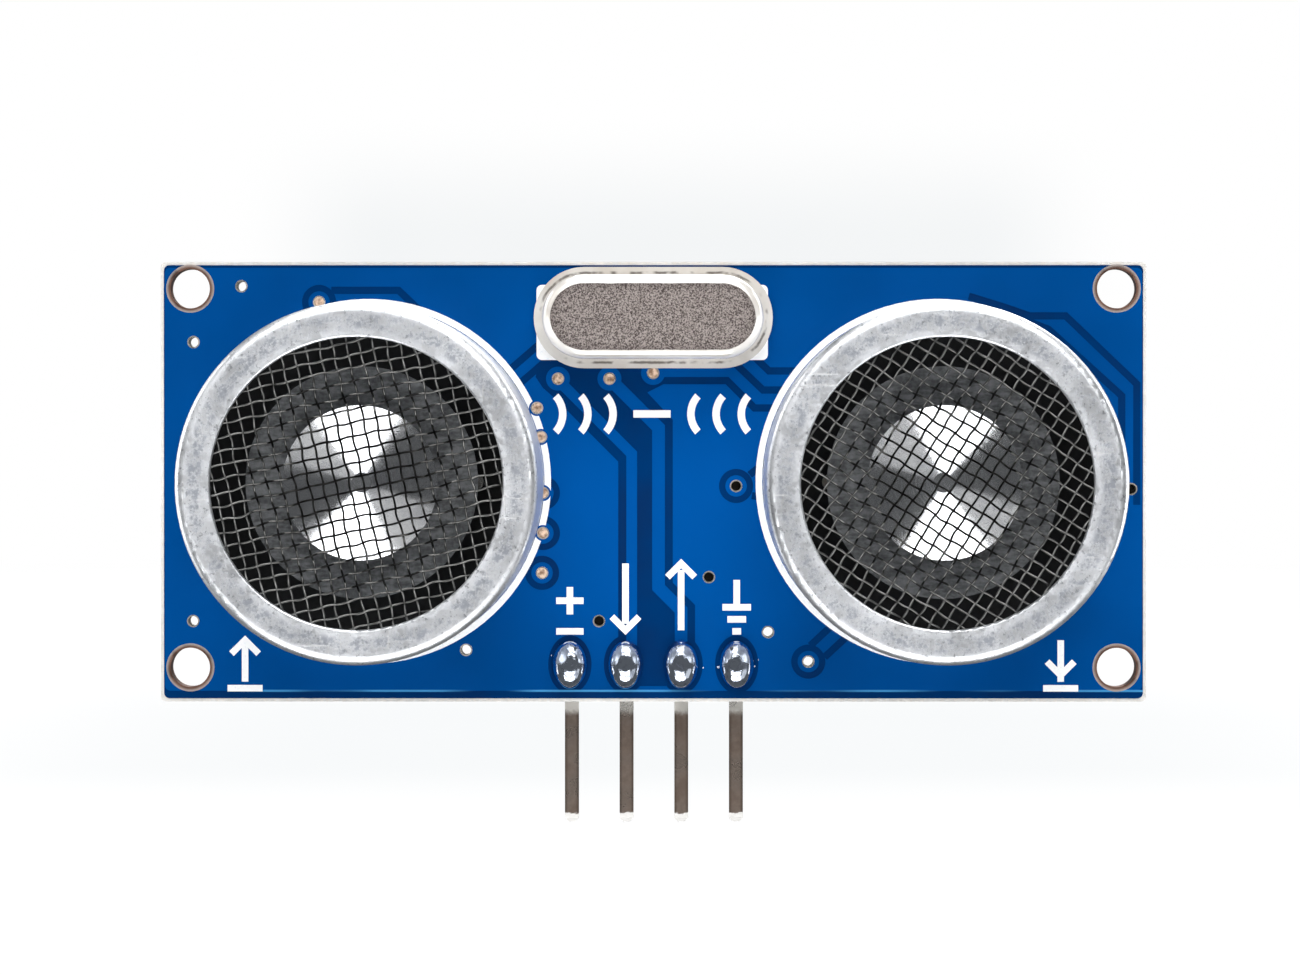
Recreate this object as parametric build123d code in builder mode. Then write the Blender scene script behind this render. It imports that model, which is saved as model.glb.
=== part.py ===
from build123d import *
import math
import os

os.makedirs("parts", exist_ok=True)

# Two-transducer ultrasonic distance sensor, in millimetres.
# +Z is up, the transducers face -Y, and +X is to the right as the sensor faces you.
# The origin is the centre of the four mounting holes, on the front face of the board.

# board
board_width = 45.0
board_height = 20.08
board_mid_z = -0.17
board_thickness = 1.6
board_corner = 0.25
copper_thickness = 0.035
mask_over_copper = 0.03
mask_channel_dip = 0.015
mask_pullback = 0.15
ink_thickness = 0.02
copper_front = mask_over_copper
laminate_front = copper_front + copper_thickness
laminate_rear = board_thickness - laminate_front
copper_rear = board_thickness - copper_front

# mounting holes
hole_spacing_x = 42.3
hole_spacing_z = 17.3
hole_radius = 0.9
hole_wall = 0.03
hole_ring_radius = 1.1

# copper pattern
pour_left = -22.31
pour_right = 22.31
pour_top = 9.6
pour_bottom = -9.72
channel_width = 0.33
narrow_track = 0.49
wide_track = 0.58
track_end_radius = 0.55
isolated_pad_radius = 0.49
isolated_ring_radius = 0.78

# vias
via_radius = 0.225
via_wall = 0.025
via_ring_radius = 0.285
open_vias = [(-18.81, 8.76), (-21.0, 6.21), (-21.02, -6.53), (-8.55, -7.85), (5.24, -7.03),
             (7.08, -8.38), (-2.48, -6.53), (2.54, -4.52), (3.78, -0.36), (21.81, -0.5)]
filled_vias = [(-4.35, 4.54), (-2.0, 4.54), (-0.01, 4.8), (-5.31, 3.2), (-5.13, 1.88),
               (-5.04, -0.68), (-5.04, -2.51), (-5.08, -4.33), (-15.26, 8.04)]
all_vias = open_vias + filled_vias
track_end_vias = filled_vias[:3]
tented_vias = [(-2.48, -6.53), (2.54, -4.52), (3.78, -0.36), (21.81, -0.5)]
tent_depth = 0.3
isolated_vias = [(3.78, -0.36), (7.08, -8.38), (-5.04, -0.68), (-5.04, -2.51),
                 (-5.08, -4.33), (-15.26, 8.04)]

# tracks: dark channels in the front pour, then the tracks in the rear pour
bare_stretch = [(-4.9, 6.2), (-5.38, 4.62), (-5.04, 4.12), (-4.5, 3.65), (-1.6, 0.75),
                (-1.6, -7.8), (-0.9, -9.5), (0.9, -9.5), (1.91, -7.8), (1.91, -5.8),
                (0.89, -4.78), (0.89, 2.66), (-0.27, 3.91), (0.47, 4.29), (0.9, 6.2)]
trigger_track = [(-4.35, 4.475), (-0.985, 1.11), (-0.985, -8.51)]
echo_track = [(-2.0, 4.54), (0.24, 2.3), (0.24, -5.0), (1.27, -6.03), (1.27, -8.51)]
crystal_track = [(-0.01, 4.86), (3.5, 4.86)]
front_channels = [
    [(0.4, 4.45), (3.37, 4.45), (4.05, 3.77), (4.62, 3.2), (6.0, 3.2)],
    [(3.5, 5.46), (5.01, 4.02), (6.2, 4.02)],
    [(4.55, 5.6), (5.28, 4.89), (7.2, 4.89)],
    [(-7.2, 4.35), (-6.56, 4.94), (-5.1, 6.2)],
    [(-6.6, 3.85), (-6.01, 4.39), (-4.6, 5.6)],
    [(14.4, 8.3), (16.05, 7.79), (17.18, 7.4), (18.82, 7.4), (22.07, 4.29), (22.07, -1.22)],
    [(17.0, 7.2), (18.05, 6.78), (21.38, 3.75), (21.38, 1.0)],
    [(-14.7, 8.57), (-11.63, 8.57), (-10.4, 7.4)],
    [(7.17, -7.65), (8.4, -6.5)],
    [(7.82, -8.18), (9.2, -6.9)],
    [(4.4, 0.15), (5.4, 0.95)],
    [(4.5, -0.8), (5.4, -0.95)],
]
rear_tracks = [
    [(-2.62, 3.81), (-4.35, 4.54)],
    [(-2.62, 1.27), (-4.2, 1.27), (-5.13, 1.88)],
    [(-2.62, -1.27), (-4.3, -1.27), (-5.04, -0.68)],
    [(-2.62, -3.81), (-4.2, -4.33), (-5.08, -4.33)],
    [(-2.44, 7.32), (-5.1, 8.1)],
    [(2.44, 7.32), (5.1, 8.1)],
    [(-5.31, 3.2), (-8.0, -0.15)],
    [(-5.04, -2.51), (-7.6, -3.8)],
    [(2.62, -1.27), (3.78, -0.36)],
    [(2.62, 3.81), (4.4, 4.6), (7.7, 4.7)],
    [(2.62, 1.27), (4.6, 1.27), (5.7, 2.2)],
    [(8.0, -0.15), (10.38, -0.8)],
    [(15.62, 3.64), (18.6, 3.9), (20.5, 3.9)],
    [(15.62, -3.98), (18.6, -4.1), (20.5, -4.1)],
    [(-15.62, 4.28), (-17.1, 6.5)],
    [(-15.62, -4.62), (-17.2, -7.3)],
    [(-10.38, 4.28), (-9.55, 5.4)],
    [(-18.0, -0.15), (-20.6, 0.8)],
    [(-15.62, 1.74), (-18.9, 2.3), (-20.6, 2.3)],
    [(-15.62, -2.08), (-18.9, -2.3), (-20.6, -2.3)],
    [(10.38, 3.64), (7.7, 3.1)],
    [(10.38, -3.98), (9.2, -7.3)],
    [(14.6, -7.3), (16.8, -7.3)],
]
rear_track_width = 0.32
rear_track_gap = 0.25

# transducers
transducer_x = 13.0
transducer_z = -0.15
can_radius = 8.0
can_height = 12.0
can_wall = 0.5
can_opening = 6.45
can_edge_round = 0.4
lip_edge_round = 0.08
lip_thickness = 0.5
mesh_thickness = 0.2
mesh_pitch = 0.588
mesh_gap = 0.47
mesh_edge_radius = 7.2
transmitter_mesh_turn = 12.5
receiver_mesh_turn = -32.0
plate_radius = 5.2
plate_thickness = 0.3
plate_front = -6.6
piezo_radius = 3.2
piezo_thickness = 0.4
cone_radius = 3.45
cone_flat = 0.45
cone_depth = 1.5
cone_thickness = 0.12
seat_ring_inner = 3.7
seat_ring_outer = 4.9
seat_ring_rear = -5.2
base_front = -2.4
base_rear = -0.4
base_tube_inner = 3.9
base_tube_outer = 4.6
wire_notch_width = 1.2
wire_notch_length = 2.8
wire_notch_depth = 1.2
terminal_offset = 5.0
terminal_radius = 0.35
terminal_front = -3.6
terminal_rear = 2.9
terminal_chamfer = 0.1
jumper_radius = 0.1
jumper_bend = 0.35
piezo_wire_route = [(5.0, -3.6), (4.5, -4.75), (3.3, -4.75), (2.8, -5.9)]
plate_wire_offset = 5.05

# crystal
crystal_x = 0.0
crystal_z = 7.32
crystal_rear = -ink_thickness
crystal_height = 3.5
crystal_flange_length = 10.9
crystal_flange_width = 4.62
crystal_flange_thickness = 0.2
crystal_base_thickness = 0.27
crystal_plug_length = 9.4
crystal_plug_width = 3.2
crystal_plug_height = 0.72
crystal_length = 10.0
crystal_width = 3.8
crystal_wall = 0.25
crystal_edge_round = 0.4
crystal_lead_offset = 2.44
crystal_lead_radius = 0.215
crystal_lead_rear = 2.7
glass_radius = 0.6
quartz_half_length = 3.95
quartz_width = 1.7
quartz_thickness = 0.18
quartz_front = -2.85
clip_thickness = 0.15
clip_width = 1.2
crystal_lead_places = [(crystal_x - crystal_lead_offset, crystal_z),
                       (crystal_x + crystal_lead_offset, crystal_z)]

# header
pin_pitch = 2.54
pin_z = -8.51
pin_size = 0.64
pin_front = -0.5
pin_down_y = 5.6
pin_bend_radius = 0.7
pin_tip_z = -16.0
pin_chamfer = 0.18
pin_xs = [(i - 1.5) * pin_pitch for i in range(4)]
pin_places = [(x, pin_z) for x in pin_xs]
pad_half_width = 0.72
pad_half_height = 1.06
pad_halo = 0.27
dome_half_width = 0.82
dome_half_height = 1.13
dome_height = 0.86
dome_steps = 8
dome_last_angle = 83
dome_fullness = 0.62
housing_chamfer = 0.35

# plated lead holes: (x, z, hole radius, rear pad radius)
lead_wall = 0.03
terminal_hole_radius = 0.5
terminal_pad_radius = 1.1
crystal_hole_radius = 0.36
crystal_pad_radius = 0.8
lead_holes = [(side * transducer_x + end * terminal_offset, transducer_z,
               terminal_hole_radius, terminal_pad_radius) for side in (-1, 1) for end in (-1, 1)]
lead_holes += [(x, z, crystal_hole_radius, crystal_pad_radius) for x, z in crystal_lead_places]
header_hole_radius = 0.5
joint_height = 1.0
joint_neck = 0.16
joint_waist = (0.42, 0.38)

# small-outline chips: centre x, centre z, leads in each row
chips = {"driver_chip": (-13.0, -0.17, 8), "controller_chip": (0.0, 0.0, 7),
         "amplifier_chip": (13.0, -0.17, 7)}
chip_pitch = 1.27
chip_end_margin = 1.03
chip_body_width = 3.9
chip_body_thickness = 1.45
chip_standoff = 0.1
chip_taper = 7
chip_dimple_radius = 0.3
chip_dimple_depth = 0.08
chip_dimple_x = 0.85
lead_width = 0.41
lead_thickness = 0.2
lead_span = 6.0
lead_knee = 2.4
lead_foot = 0.5
chip_pad_centre = 2.62
chip_pad_length = 1.35
chip_pad_width = 0.62

# chip resistors, capacitors and the transistor: centre x, centre z, turn
resistors = [(-20.6, 3.1, 90), (-20.6, 0.0, 90), (-20.6, -3.1, 90), (-16.3, 6.5, 0),
             (-12.3, 6.5, 0), (5.7, 3.0, 90), (5.7, -2.9, 90), (10.3, 6.6, 0),
             (14.1, 6.6, 0), (17.9, 6.6, 0), (20.5, 3.1, 90), (20.5, -3.3, 90),
             (10.0, -7.3, 0), (13.8, -7.3, 0)]
capacitors = [(-16.4, -7.3, 0), (-12.6, -7.3, 0), (-5.1, 7.3, 90), (5.1, 7.3, 90),
              (-7.6, -4.6, 90), (7.7, 3.9, 90), (7.7, -4.2, 90), (17.6, -7.3, 0)]
passive_length = 1.6
passive_width = 0.8
cap_length = 0.32
cap_skin = 0.025
resistor_thickness = 0.45
capacitor_thickness = 0.8
passive_pad_offset = 0.8
passive_pad_length = 0.9
passive_pad_width = 0.95
transistor_x = -8.6
transistor_z = 6.4
transistor_body_length = 2.9
transistor_body_width = 1.3
transistor_body_thickness = 1.0
transistor_lead_reach = 1.2
transistor_knee = 0.85
transistor_leads = [(-0.95, -1), (0.95, -1), (0.0, 1)]
transistor_pad = (0.8, 0.9)

# ink
ink_ring_inner = 8.03
ink_ring_outer = 8.33
ink_line = 0.3
ink_corner = 0.25
thin_line = 0.14
via_clearance = 0.37
ink_pad_gap = 0.1
crystal_ink_x = -0.05
crystal_ink_z = 7.105
crystal_ink_width = 10.56
crystal_ink_height = 3.43
crystal_pad_clearance = 0.85
sonar_x = -0.06
sonar_z = 2.93
sonar_radius = 1.2
sonar_half_angle = 43
sonar_steps = (2.2, 3.35, 4.5)
sonar_dash = 0.85
sonar_line = 0.34
plus_size = 1.25
label_bottom_z = -7.15
arrow_low_z = -6.95
arrow_high_z = -3.9
arrow_head = 0.62
ground_widths = (1.3, 0.85, 0.4)
ground_step = 0.55
ground_stem_top = -4.65
transmit_mark_x = -18.65
receive_mark_x = 18.6
corner_mark_z = -8.5
corner_mark_half = 1.1
corner_mark_width = 1.6
chip_ink_width = 3.3
chip_ink_margin = 0.7
chip_dot_x = 2.5
chip_dot_z = 0.35
chip_dot_radius = 0.22
bracket_x = 1.45
bracket_z = 0.7
bracket_leg = 0.5
header_ink_x = 5.4
header_ink_bottom = -9.9
header_ink_top = -6.95


def front_plane(y):
    """The XZ plane at depth y, looking along -Y, so a negative extrusion runs to the rear."""
    return Plane.XZ.offset(-y)


def profile_plane(x, z):
    """A plane through the line (x, z) whose local coordinates are radius and depth."""
    return Plane(origin=(x, 0, z), x_dir=(1, 0, 0), z_dir=(0, 0, 1))


def depth_axis(x, z):
    return Axis((x, 0, z), (0, 1, 0))


def save(piece, name):
    piece.part.label = name
    export_step(piece.part, "parts/" + name + ".step")


def stroke(points, width, mode=Mode.ADD):
    """A line of constant width through the points, drawn in the current sketch."""
    with BuildLine() as path:
        Polyline(*points)
    trace(path.line, line_width=width, mode=mode)


def arc_stroke(centre, radius, start, sweep_angle, width):
    with BuildLine() as path:
        CenterArc(centre, radius, start, sweep_angle)
    trace(path.line, line_width=width)


def turned(dx, dz, turn):
    """The offset (dx, dz) turned with its component by 0 or 90 degrees."""
    return (dx, dz) if turn == 0 else (-dz, dx)


def chip_rows(name):
    """The (x sign, z) of every lead of a chip, in its own frame."""
    count = chips[name][2]
    heights = [(i - (count - 1) / 2) * chip_pitch for i in range(count)]
    return [(side, height) for side in (-1, 1) for height in heights]


def chip_length(name):
    return (chips[name][2] - 1) * chip_pitch + chip_end_margin


def board_outline(inset):
    with Locations((0, board_mid_z)):
        RectangleRounded(board_width - 2 * inset, board_height - 2 * inset, board_corner)


def mounting_circles(radius, mode=Mode.ADD):
    with GridLocations(hole_spacing_x, hole_spacing_z, 2, 2):
        Circle(radius, mode=mode)


def header_pads(grow=0.0, mode=Mode.ADD):
    with Locations(*pin_places):
        Ellipse(pad_half_width + grow, pad_half_height + grow, mode=mode)


def lead_pads(grow=0.0, mode=Mode.ADD):
    for x, z, radius, pad in lead_holes:
        with Locations((x, z)):
            Circle(pad + grow, mode=mode)


def sonar_mark():
    """Three waves going out from each end towards a dash in the middle."""
    for side in (-1, 1):
        for step in sonar_steps:
            centre = (sonar_x + side * (step + sonar_radius - sonar_dash / 2), sonar_z)
            start = 180 - sonar_half_angle if side > 0 else -sonar_half_angle
            arc_stroke(centre, sonar_radius, start, 2 * sonar_half_angle, sonar_line)
    stroke([(sonar_x - sonar_dash, sonar_z), (sonar_x + sonar_dash, sonar_z)], sonar_line)


def plus_mark(x):
    """Supply: a plus sign over a bar."""
    z = label_bottom_z + plus_size
    stroke([(x - plus_size / 2, z + ink_line), (x + plus_size / 2, z + ink_line)], ink_line)
    stroke([(x, z + ink_line - plus_size / 2), (x, z + ink_line + plus_size / 2)], ink_line)
    stroke([(x - plus_size / 2, label_bottom_z + ink_line / 2),
            (x + plus_size / 2, label_bottom_z + ink_line / 2)], ink_line)


def arrow_mark(x, point_z, tail_z, direction):
    """A long arrow above its pin; direction is from the point to the tail."""
    stroke([(x, point_z + direction * ink_line), (x, tail_z)], ink_line)
    stroke([(x - arrow_head, point_z + direction * arrow_head), (x, point_z),
            (x + arrow_head, point_z + direction * arrow_head)], ink_line)


def ground_mark(x):
    """A stem over three bars that shorten downwards."""
    for i, width in enumerate(ground_widths):
        z = label_bottom_z + ink_line / 2 + (len(ground_widths) - 1 - i) * ground_step
        stroke([(x - width / 2, z), (x + width / 2, z)], ink_line)
    stroke([(x, label_bottom_z + len(ground_widths) * ground_step - ground_step), (x, ground_stem_top)],
           ink_line)


def corner_mark(x, direction):
    """A bar with an arrow that leaves it upwards, or comes down onto it."""
    z = corner_mark_z
    half = corner_mark_half
    tip = z + half if direction > 0 else z - half + 2 * ink_line
    stroke([(x - corner_mark_width / 2, z - half), (x + corner_mark_width / 2, z - half)], ink_line)
    stroke([(x, z - half + ink_line), (x, z + half)], ink_line)
    stroke([(x - arrow_head, tip - direction * arrow_head), (x, tip),
            (x + arrow_head, tip - direction * arrow_head)], ink_line)


def frame_box(x, z, width, height, line):
    """A rectangle drawn as a closed line."""
    with BuildSketch(mode=Mode.PRIVATE) as box:
        with Locations((x, z)):
            Rectangle(width + line, height + line)
            Rectangle(width - line, height - line, mode=Mode.SUBTRACT)
    add(box.sketch)


def bracket(x, z, turn, side, end):
    """One corner of the printed outline of a chip resistor or capacitor."""
    corners = [(end * (bracket_x - bracket_leg), side * bracket_z),
               (end * bracket_x, side * bracket_z),
               (end * bracket_x, side * (bracket_z - bracket_leg))]
    points = []
    for u, v in corners:
        dx, dz = turned(u, v, turn)
        points.append((x + dx, z + dz))
    stroke(points, thin_line)


def mesh_holes(x, z, turn):
    """Centres of the square holes of a mesh whose wires are turned about its middle."""
    reach = int(can_opening / mesh_pitch) + 1
    angle = math.radians(turn)
    places = []
    for i in range(-reach, reach + 1):
        for j in range(-reach, reach + 1):
            u = (i + 0.5) * mesh_pitch
            v = (j + 0.5) * mesh_pitch
            if math.hypot(u, v) < can_opening:
                places.append((x + u * math.cos(angle) - v * math.sin(angle),
                               z + u * math.sin(angle) + v * math.cos(angle)))
    return places


def housing_outline():
    """The four joined cells of the pin housing, each with its corners cut off."""
    half = pin_pitch / 2
    cut = housing_chamfer
    for x in pin_xs:
        with BuildLine() as cell:
            Polyline((x - half, pin_z - half + cut), (x - half + cut, pin_z - half),
                     (x + half - cut, pin_z - half), (x + half, pin_z - half + cut),
                     (x + half, pin_z + half - cut), (x + half - cut, pin_z + half),
                     (x - half + cut, pin_z + half), (x - half, pin_z + half - cut),
                     close=True)
        make_face(cell.line)


def front_copper_shape():
    """The pour with the dark channels cut round the two signal traces and the vias."""
    with Locations(((pour_left + pour_right) / 2, (pour_top + pour_bottom) / 2)):
        RectangleRounded(pour_right - pour_left, pour_top - pour_bottom, board_corner)
    with BuildLine() as bare:
        Polyline(*bare_stretch, close=True)
    make_face(bare.line, mode=Mode.SUBTRACT)
    for line in front_channels:
        stroke(line, channel_width, Mode.SUBTRACT)
    with Locations(*isolated_vias):
        Circle(isolated_ring_radius, mode=Mode.SUBTRACT)
        Circle(isolated_pad_radius)
    header_pads(pad_halo, Mode.SUBTRACT)
    lead_pads(pad_halo, Mode.SUBTRACT)
    stroke(trigger_track, narrow_track)
    stroke(echo_track, wide_track)
    stroke(crystal_track, narrow_track)
    with Locations(*track_end_vias):
        Circle(track_end_radius)
    header_pads()
    lead_pads()


def component_pads(grow=0.0, mode=Mode.ADD):
    """The solder lands of every surface-mount component."""
    for name, (x, z, count) in chips.items():
        with Locations(*[(x + side * chip_pad_centre, z + dz) for side, dz in chip_rows(name)]):
            Rectangle(chip_pad_length + 2 * grow, chip_pad_width + 2 * grow, mode=mode)
    for x, z, turn in resistors + capacitors:
        for end in (-1, 1):
            dx, dz = turned(end * passive_pad_offset, 0, turn)
            with Locations((x + dx, z + dz)):
                Rectangle(passive_pad_length + 2 * grow, passive_pad_width + 2 * grow,
                          rotation=turn, mode=mode)
    pad_w, pad_h = transistor_pad
    with Locations(*[(transistor_x + dx, transistor_z + side * transistor_lead_reach)
                     for dx, side in transistor_leads]):
        Rectangle(pad_w + 2 * grow, pad_h + 2 * grow, mode=mode)


def rear_copper_shape():
    with Locations(((pour_left + pour_right) / 2, (pour_top + pour_bottom) / 2)):
        RectangleRounded(pour_right - pour_left, pour_top - pour_bottom, board_corner)
    for line in rear_tracks:
        stroke(line, rear_track_width + 2 * rear_track_gap, Mode.SUBTRACT)
    component_pads(rear_track_gap, Mode.SUBTRACT)
    header_pads(pad_halo, Mode.SUBTRACT)
    lead_pads(pad_halo, Mode.SUBTRACT)
    with Locations(*isolated_vias):
        Circle(isolated_ring_radius, mode=Mode.SUBTRACT)
        Circle(isolated_pad_radius)
    for line in rear_tracks:
        stroke(line, rear_track_width)
    component_pads()
    header_pads()
    lead_pads()


def ring_seats(mode=Mode.ADD):
    """The bare rings round the mounting holes and vias."""
    mounting_circles(hole_ring_radius, mode)
    with Locations(*all_vias):
        Circle(via_ring_radius, mode=mode)


# artwork shared by the copper layers and the solder mask over them
with BuildSketch(mode=Mode.PRIVATE) as front_art:
    front_copper_shape()
    ring_seats(Mode.SUBTRACT)

with BuildSketch(mode=Mode.PRIVATE) as rear_art:
    rear_copper_shape()
    ring_seats(Mode.SUBTRACT)

with BuildSketch(mode=Mode.PRIVATE) as front_lands:
    header_pads()
    lead_pads()

with BuildSketch(mode=Mode.PRIVATE) as rear_lands:
    header_pads()
    lead_pads()
    component_pads()

with BuildSketch(mode=Mode.PRIVATE) as lead_drills:
    for x, z, radius, pad in lead_holes:
        with Locations((x, z)):
            Circle(radius + lead_wall)
    with Locations(*pin_places):
        Circle(header_hole_radius + lead_wall)

# board laminate
with BuildPart() as board_laminate:
    with BuildSketch(front_plane(laminate_front)):
        board_outline(0.0)
        mounting_circles(hole_radius + hole_wall, Mode.SUBTRACT)
        with Locations(*all_vias):
            Circle(via_radius + via_wall, mode=Mode.SUBTRACT)
        add(lead_drills.sketch, mode=Mode.SUBTRACT)
    extrude(amount=laminate_front - laminate_rear)
save(board_laminate, "board_laminate")

# copper layers
with BuildPart() as front_copper:
    with BuildSketch(front_plane(copper_front)):
        add(front_art.sketch)
        add(lead_drills.sketch, mode=Mode.SUBTRACT)
    extrude(amount=-copper_thickness)
save(front_copper, "front_copper")

with BuildPart() as rear_copper:
    with BuildSketch(front_plane(laminate_rear)):
        add(rear_art.sketch)
        add(lead_drills.sketch, mode=Mode.SUBTRACT)
    extrude(amount=-copper_thickness)
save(rear_copper, "rear_copper")

# solder mask: thin over the copper, and dipping to the laminate in the channels
with BuildPart() as front_solder_mask:
    with BuildSketch(front_plane(mask_channel_dip)):
        board_outline(mask_pullback)
        ring_seats(Mode.SUBTRACT)
        add(front_art.sketch, mode=Mode.SUBTRACT)
    extrude(amount=mask_channel_dip - laminate_front)
    with BuildSketch(front_plane(0)):
        add(front_art.sketch)
        add(front_lands.sketch, mode=Mode.SUBTRACT)
    extrude(amount=-mask_over_copper)
save(front_solder_mask, "front_solder_mask")

with BuildPart() as rear_solder_mask:
    with BuildSketch(front_plane(laminate_rear)):
        board_outline(mask_pullback)
        ring_seats(Mode.SUBTRACT)
        add(rear_art.sketch, mode=Mode.SUBTRACT)
    extrude(amount=mask_channel_dip - laminate_front)
    with BuildSketch(front_plane(copper_rear)):
        add(rear_art.sketch)
        add(rear_lands.sketch, mode=Mode.SUBTRACT)
    extrude(amount=-mask_over_copper)
save(rear_solder_mask, "rear_solder_mask")

# plated holes
with BuildPart() as mounting_hole_plating:
    with BuildSketch(front_plane(0)):
        mounting_circles(hole_radius + hole_wall)
    extrude(amount=-board_thickness)
    for ring_y in (0, laminate_rear):
        with BuildSketch(front_plane(ring_y)):
            mounting_circles(hole_ring_radius)
        extrude(amount=-laminate_front)
    with BuildSketch(front_plane(0)):
        mounting_circles(hole_radius)
    extrude(amount=-board_thickness, mode=Mode.SUBTRACT)
save(mounting_hole_plating, "mounting_hole_plating")

with BuildPart() as via_plating:
    with BuildSketch(front_plane(0)):
        with Locations(*all_vias):
            Circle(via_radius + via_wall)
    extrude(amount=-board_thickness)
    for ring_y in (0, laminate_rear):
        with BuildSketch(front_plane(ring_y)):
            with Locations(*all_vias):
                Circle(via_ring_radius)
        extrude(amount=-laminate_front)
    with BuildSketch(front_plane(0)):
        with Locations(*all_vias):
            Circle(via_radius)
    extrude(amount=-board_thickness, mode=Mode.SUBTRACT)
save(via_plating, "via_plating")

with BuildPart() as via_solder:
    with BuildSketch(front_plane(0)):
        with Locations(*filled_vias):
            Circle(via_radius)
    extrude(amount=-board_thickness)
save(via_solder, "via_solder")

# plugs of mask that close four vias at the rear
with BuildPart() as via_tents:
    with BuildSketch(front_plane(board_thickness - tent_depth)):
        with Locations(*tented_vias):
            Circle(via_radius)
    extrude(amount=-tent_depth)
save(via_tents, "via_tents")

with BuildPart() as lead_hole_plating:
    with BuildSketch(front_plane(copper_front)):
        add(lead_drills.sketch)
        for x, z, radius, pad in lead_holes:
            with Locations((x, z)):
                Circle(radius, mode=Mode.SUBTRACT)
        with Locations(*pin_places):
            Circle(header_hole_radius, mode=Mode.SUBTRACT)
    extrude(amount=copper_front - copper_rear)
save(lead_hole_plating, "lead_hole_plating")

# tin finish on the lands, level with the mask
with BuildPart() as land_finish:
    for finish_y, lands in ((0, front_lands), (copper_rear, rear_lands)):
        with BuildSketch(front_plane(finish_y)):
            add(lands.sketch)
            add(lead_drills.sketch, mode=Mode.SUBTRACT)
        extrude(amount=-mask_over_copper)
save(land_finish, "land_finish")

# printed ink on the front
with BuildPart() as front_legend:
    with BuildSketch(front_plane(-ink_thickness)):
        with Locations((-transducer_x, transducer_z), (transducer_x, transducer_z)):
            Circle(ink_ring_outer)
            Circle(ink_ring_inner, mode=Mode.SUBTRACT)
        sonar_mark()
        plus_mark(pin_xs[0])
        arrow_mark(pin_xs[1], arrow_low_z, arrow_high_z, 1)
        arrow_mark(pin_xs[2], arrow_high_z, arrow_low_z, -1)
        ground_mark(pin_xs[3])
        corner_mark(transmit_mark_x, 1)
        corner_mark(receive_mark_x, -1)
        with Locations((crystal_ink_x, crystal_ink_z)):
            RectangleRounded(crystal_ink_width, crystal_ink_height, ink_corner)
        with Locations(*all_vias):
            Circle(via_clearance, mode=Mode.SUBTRACT)
        with Locations(*crystal_lead_places):
            Circle(crystal_pad_clearance, mode=Mode.SUBTRACT)
    extrude(amount=-ink_thickness)
save(front_legend, "front_legend")

# printed ink on the rear
with BuildPart() as rear_legend:
    with BuildSketch(front_plane(board_thickness)):
        for name, (x, z, count) in chips.items():
            frame_box(x, z, chip_ink_width, chip_length(name) + chip_ink_margin, thin_line)
            with Locations((x - chip_dot_x, z + chip_length(name) / 2 + chip_dot_z)):
                Circle(chip_dot_radius)
        for x, z, turn in resistors + capacitors:
            for side in (-1, 1):
                for end in (-1, 1):
                    bracket(x, z, turn, side, end)
        for side in (-1, 1):
            stroke([(side * header_ink_x, header_ink_bottom),
                    (side * header_ink_x, header_ink_top), (0, header_ink_top)], thin_line)
        with Locations(*all_vias):
            Circle(via_clearance, mode=Mode.SUBTRACT)
        component_pads(ink_pad_gap, Mode.SUBTRACT)
        lead_pads(ink_pad_gap, Mode.SUBTRACT)
    extrude(amount=-ink_thickness)
save(rear_legend, "rear_legend")

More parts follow.
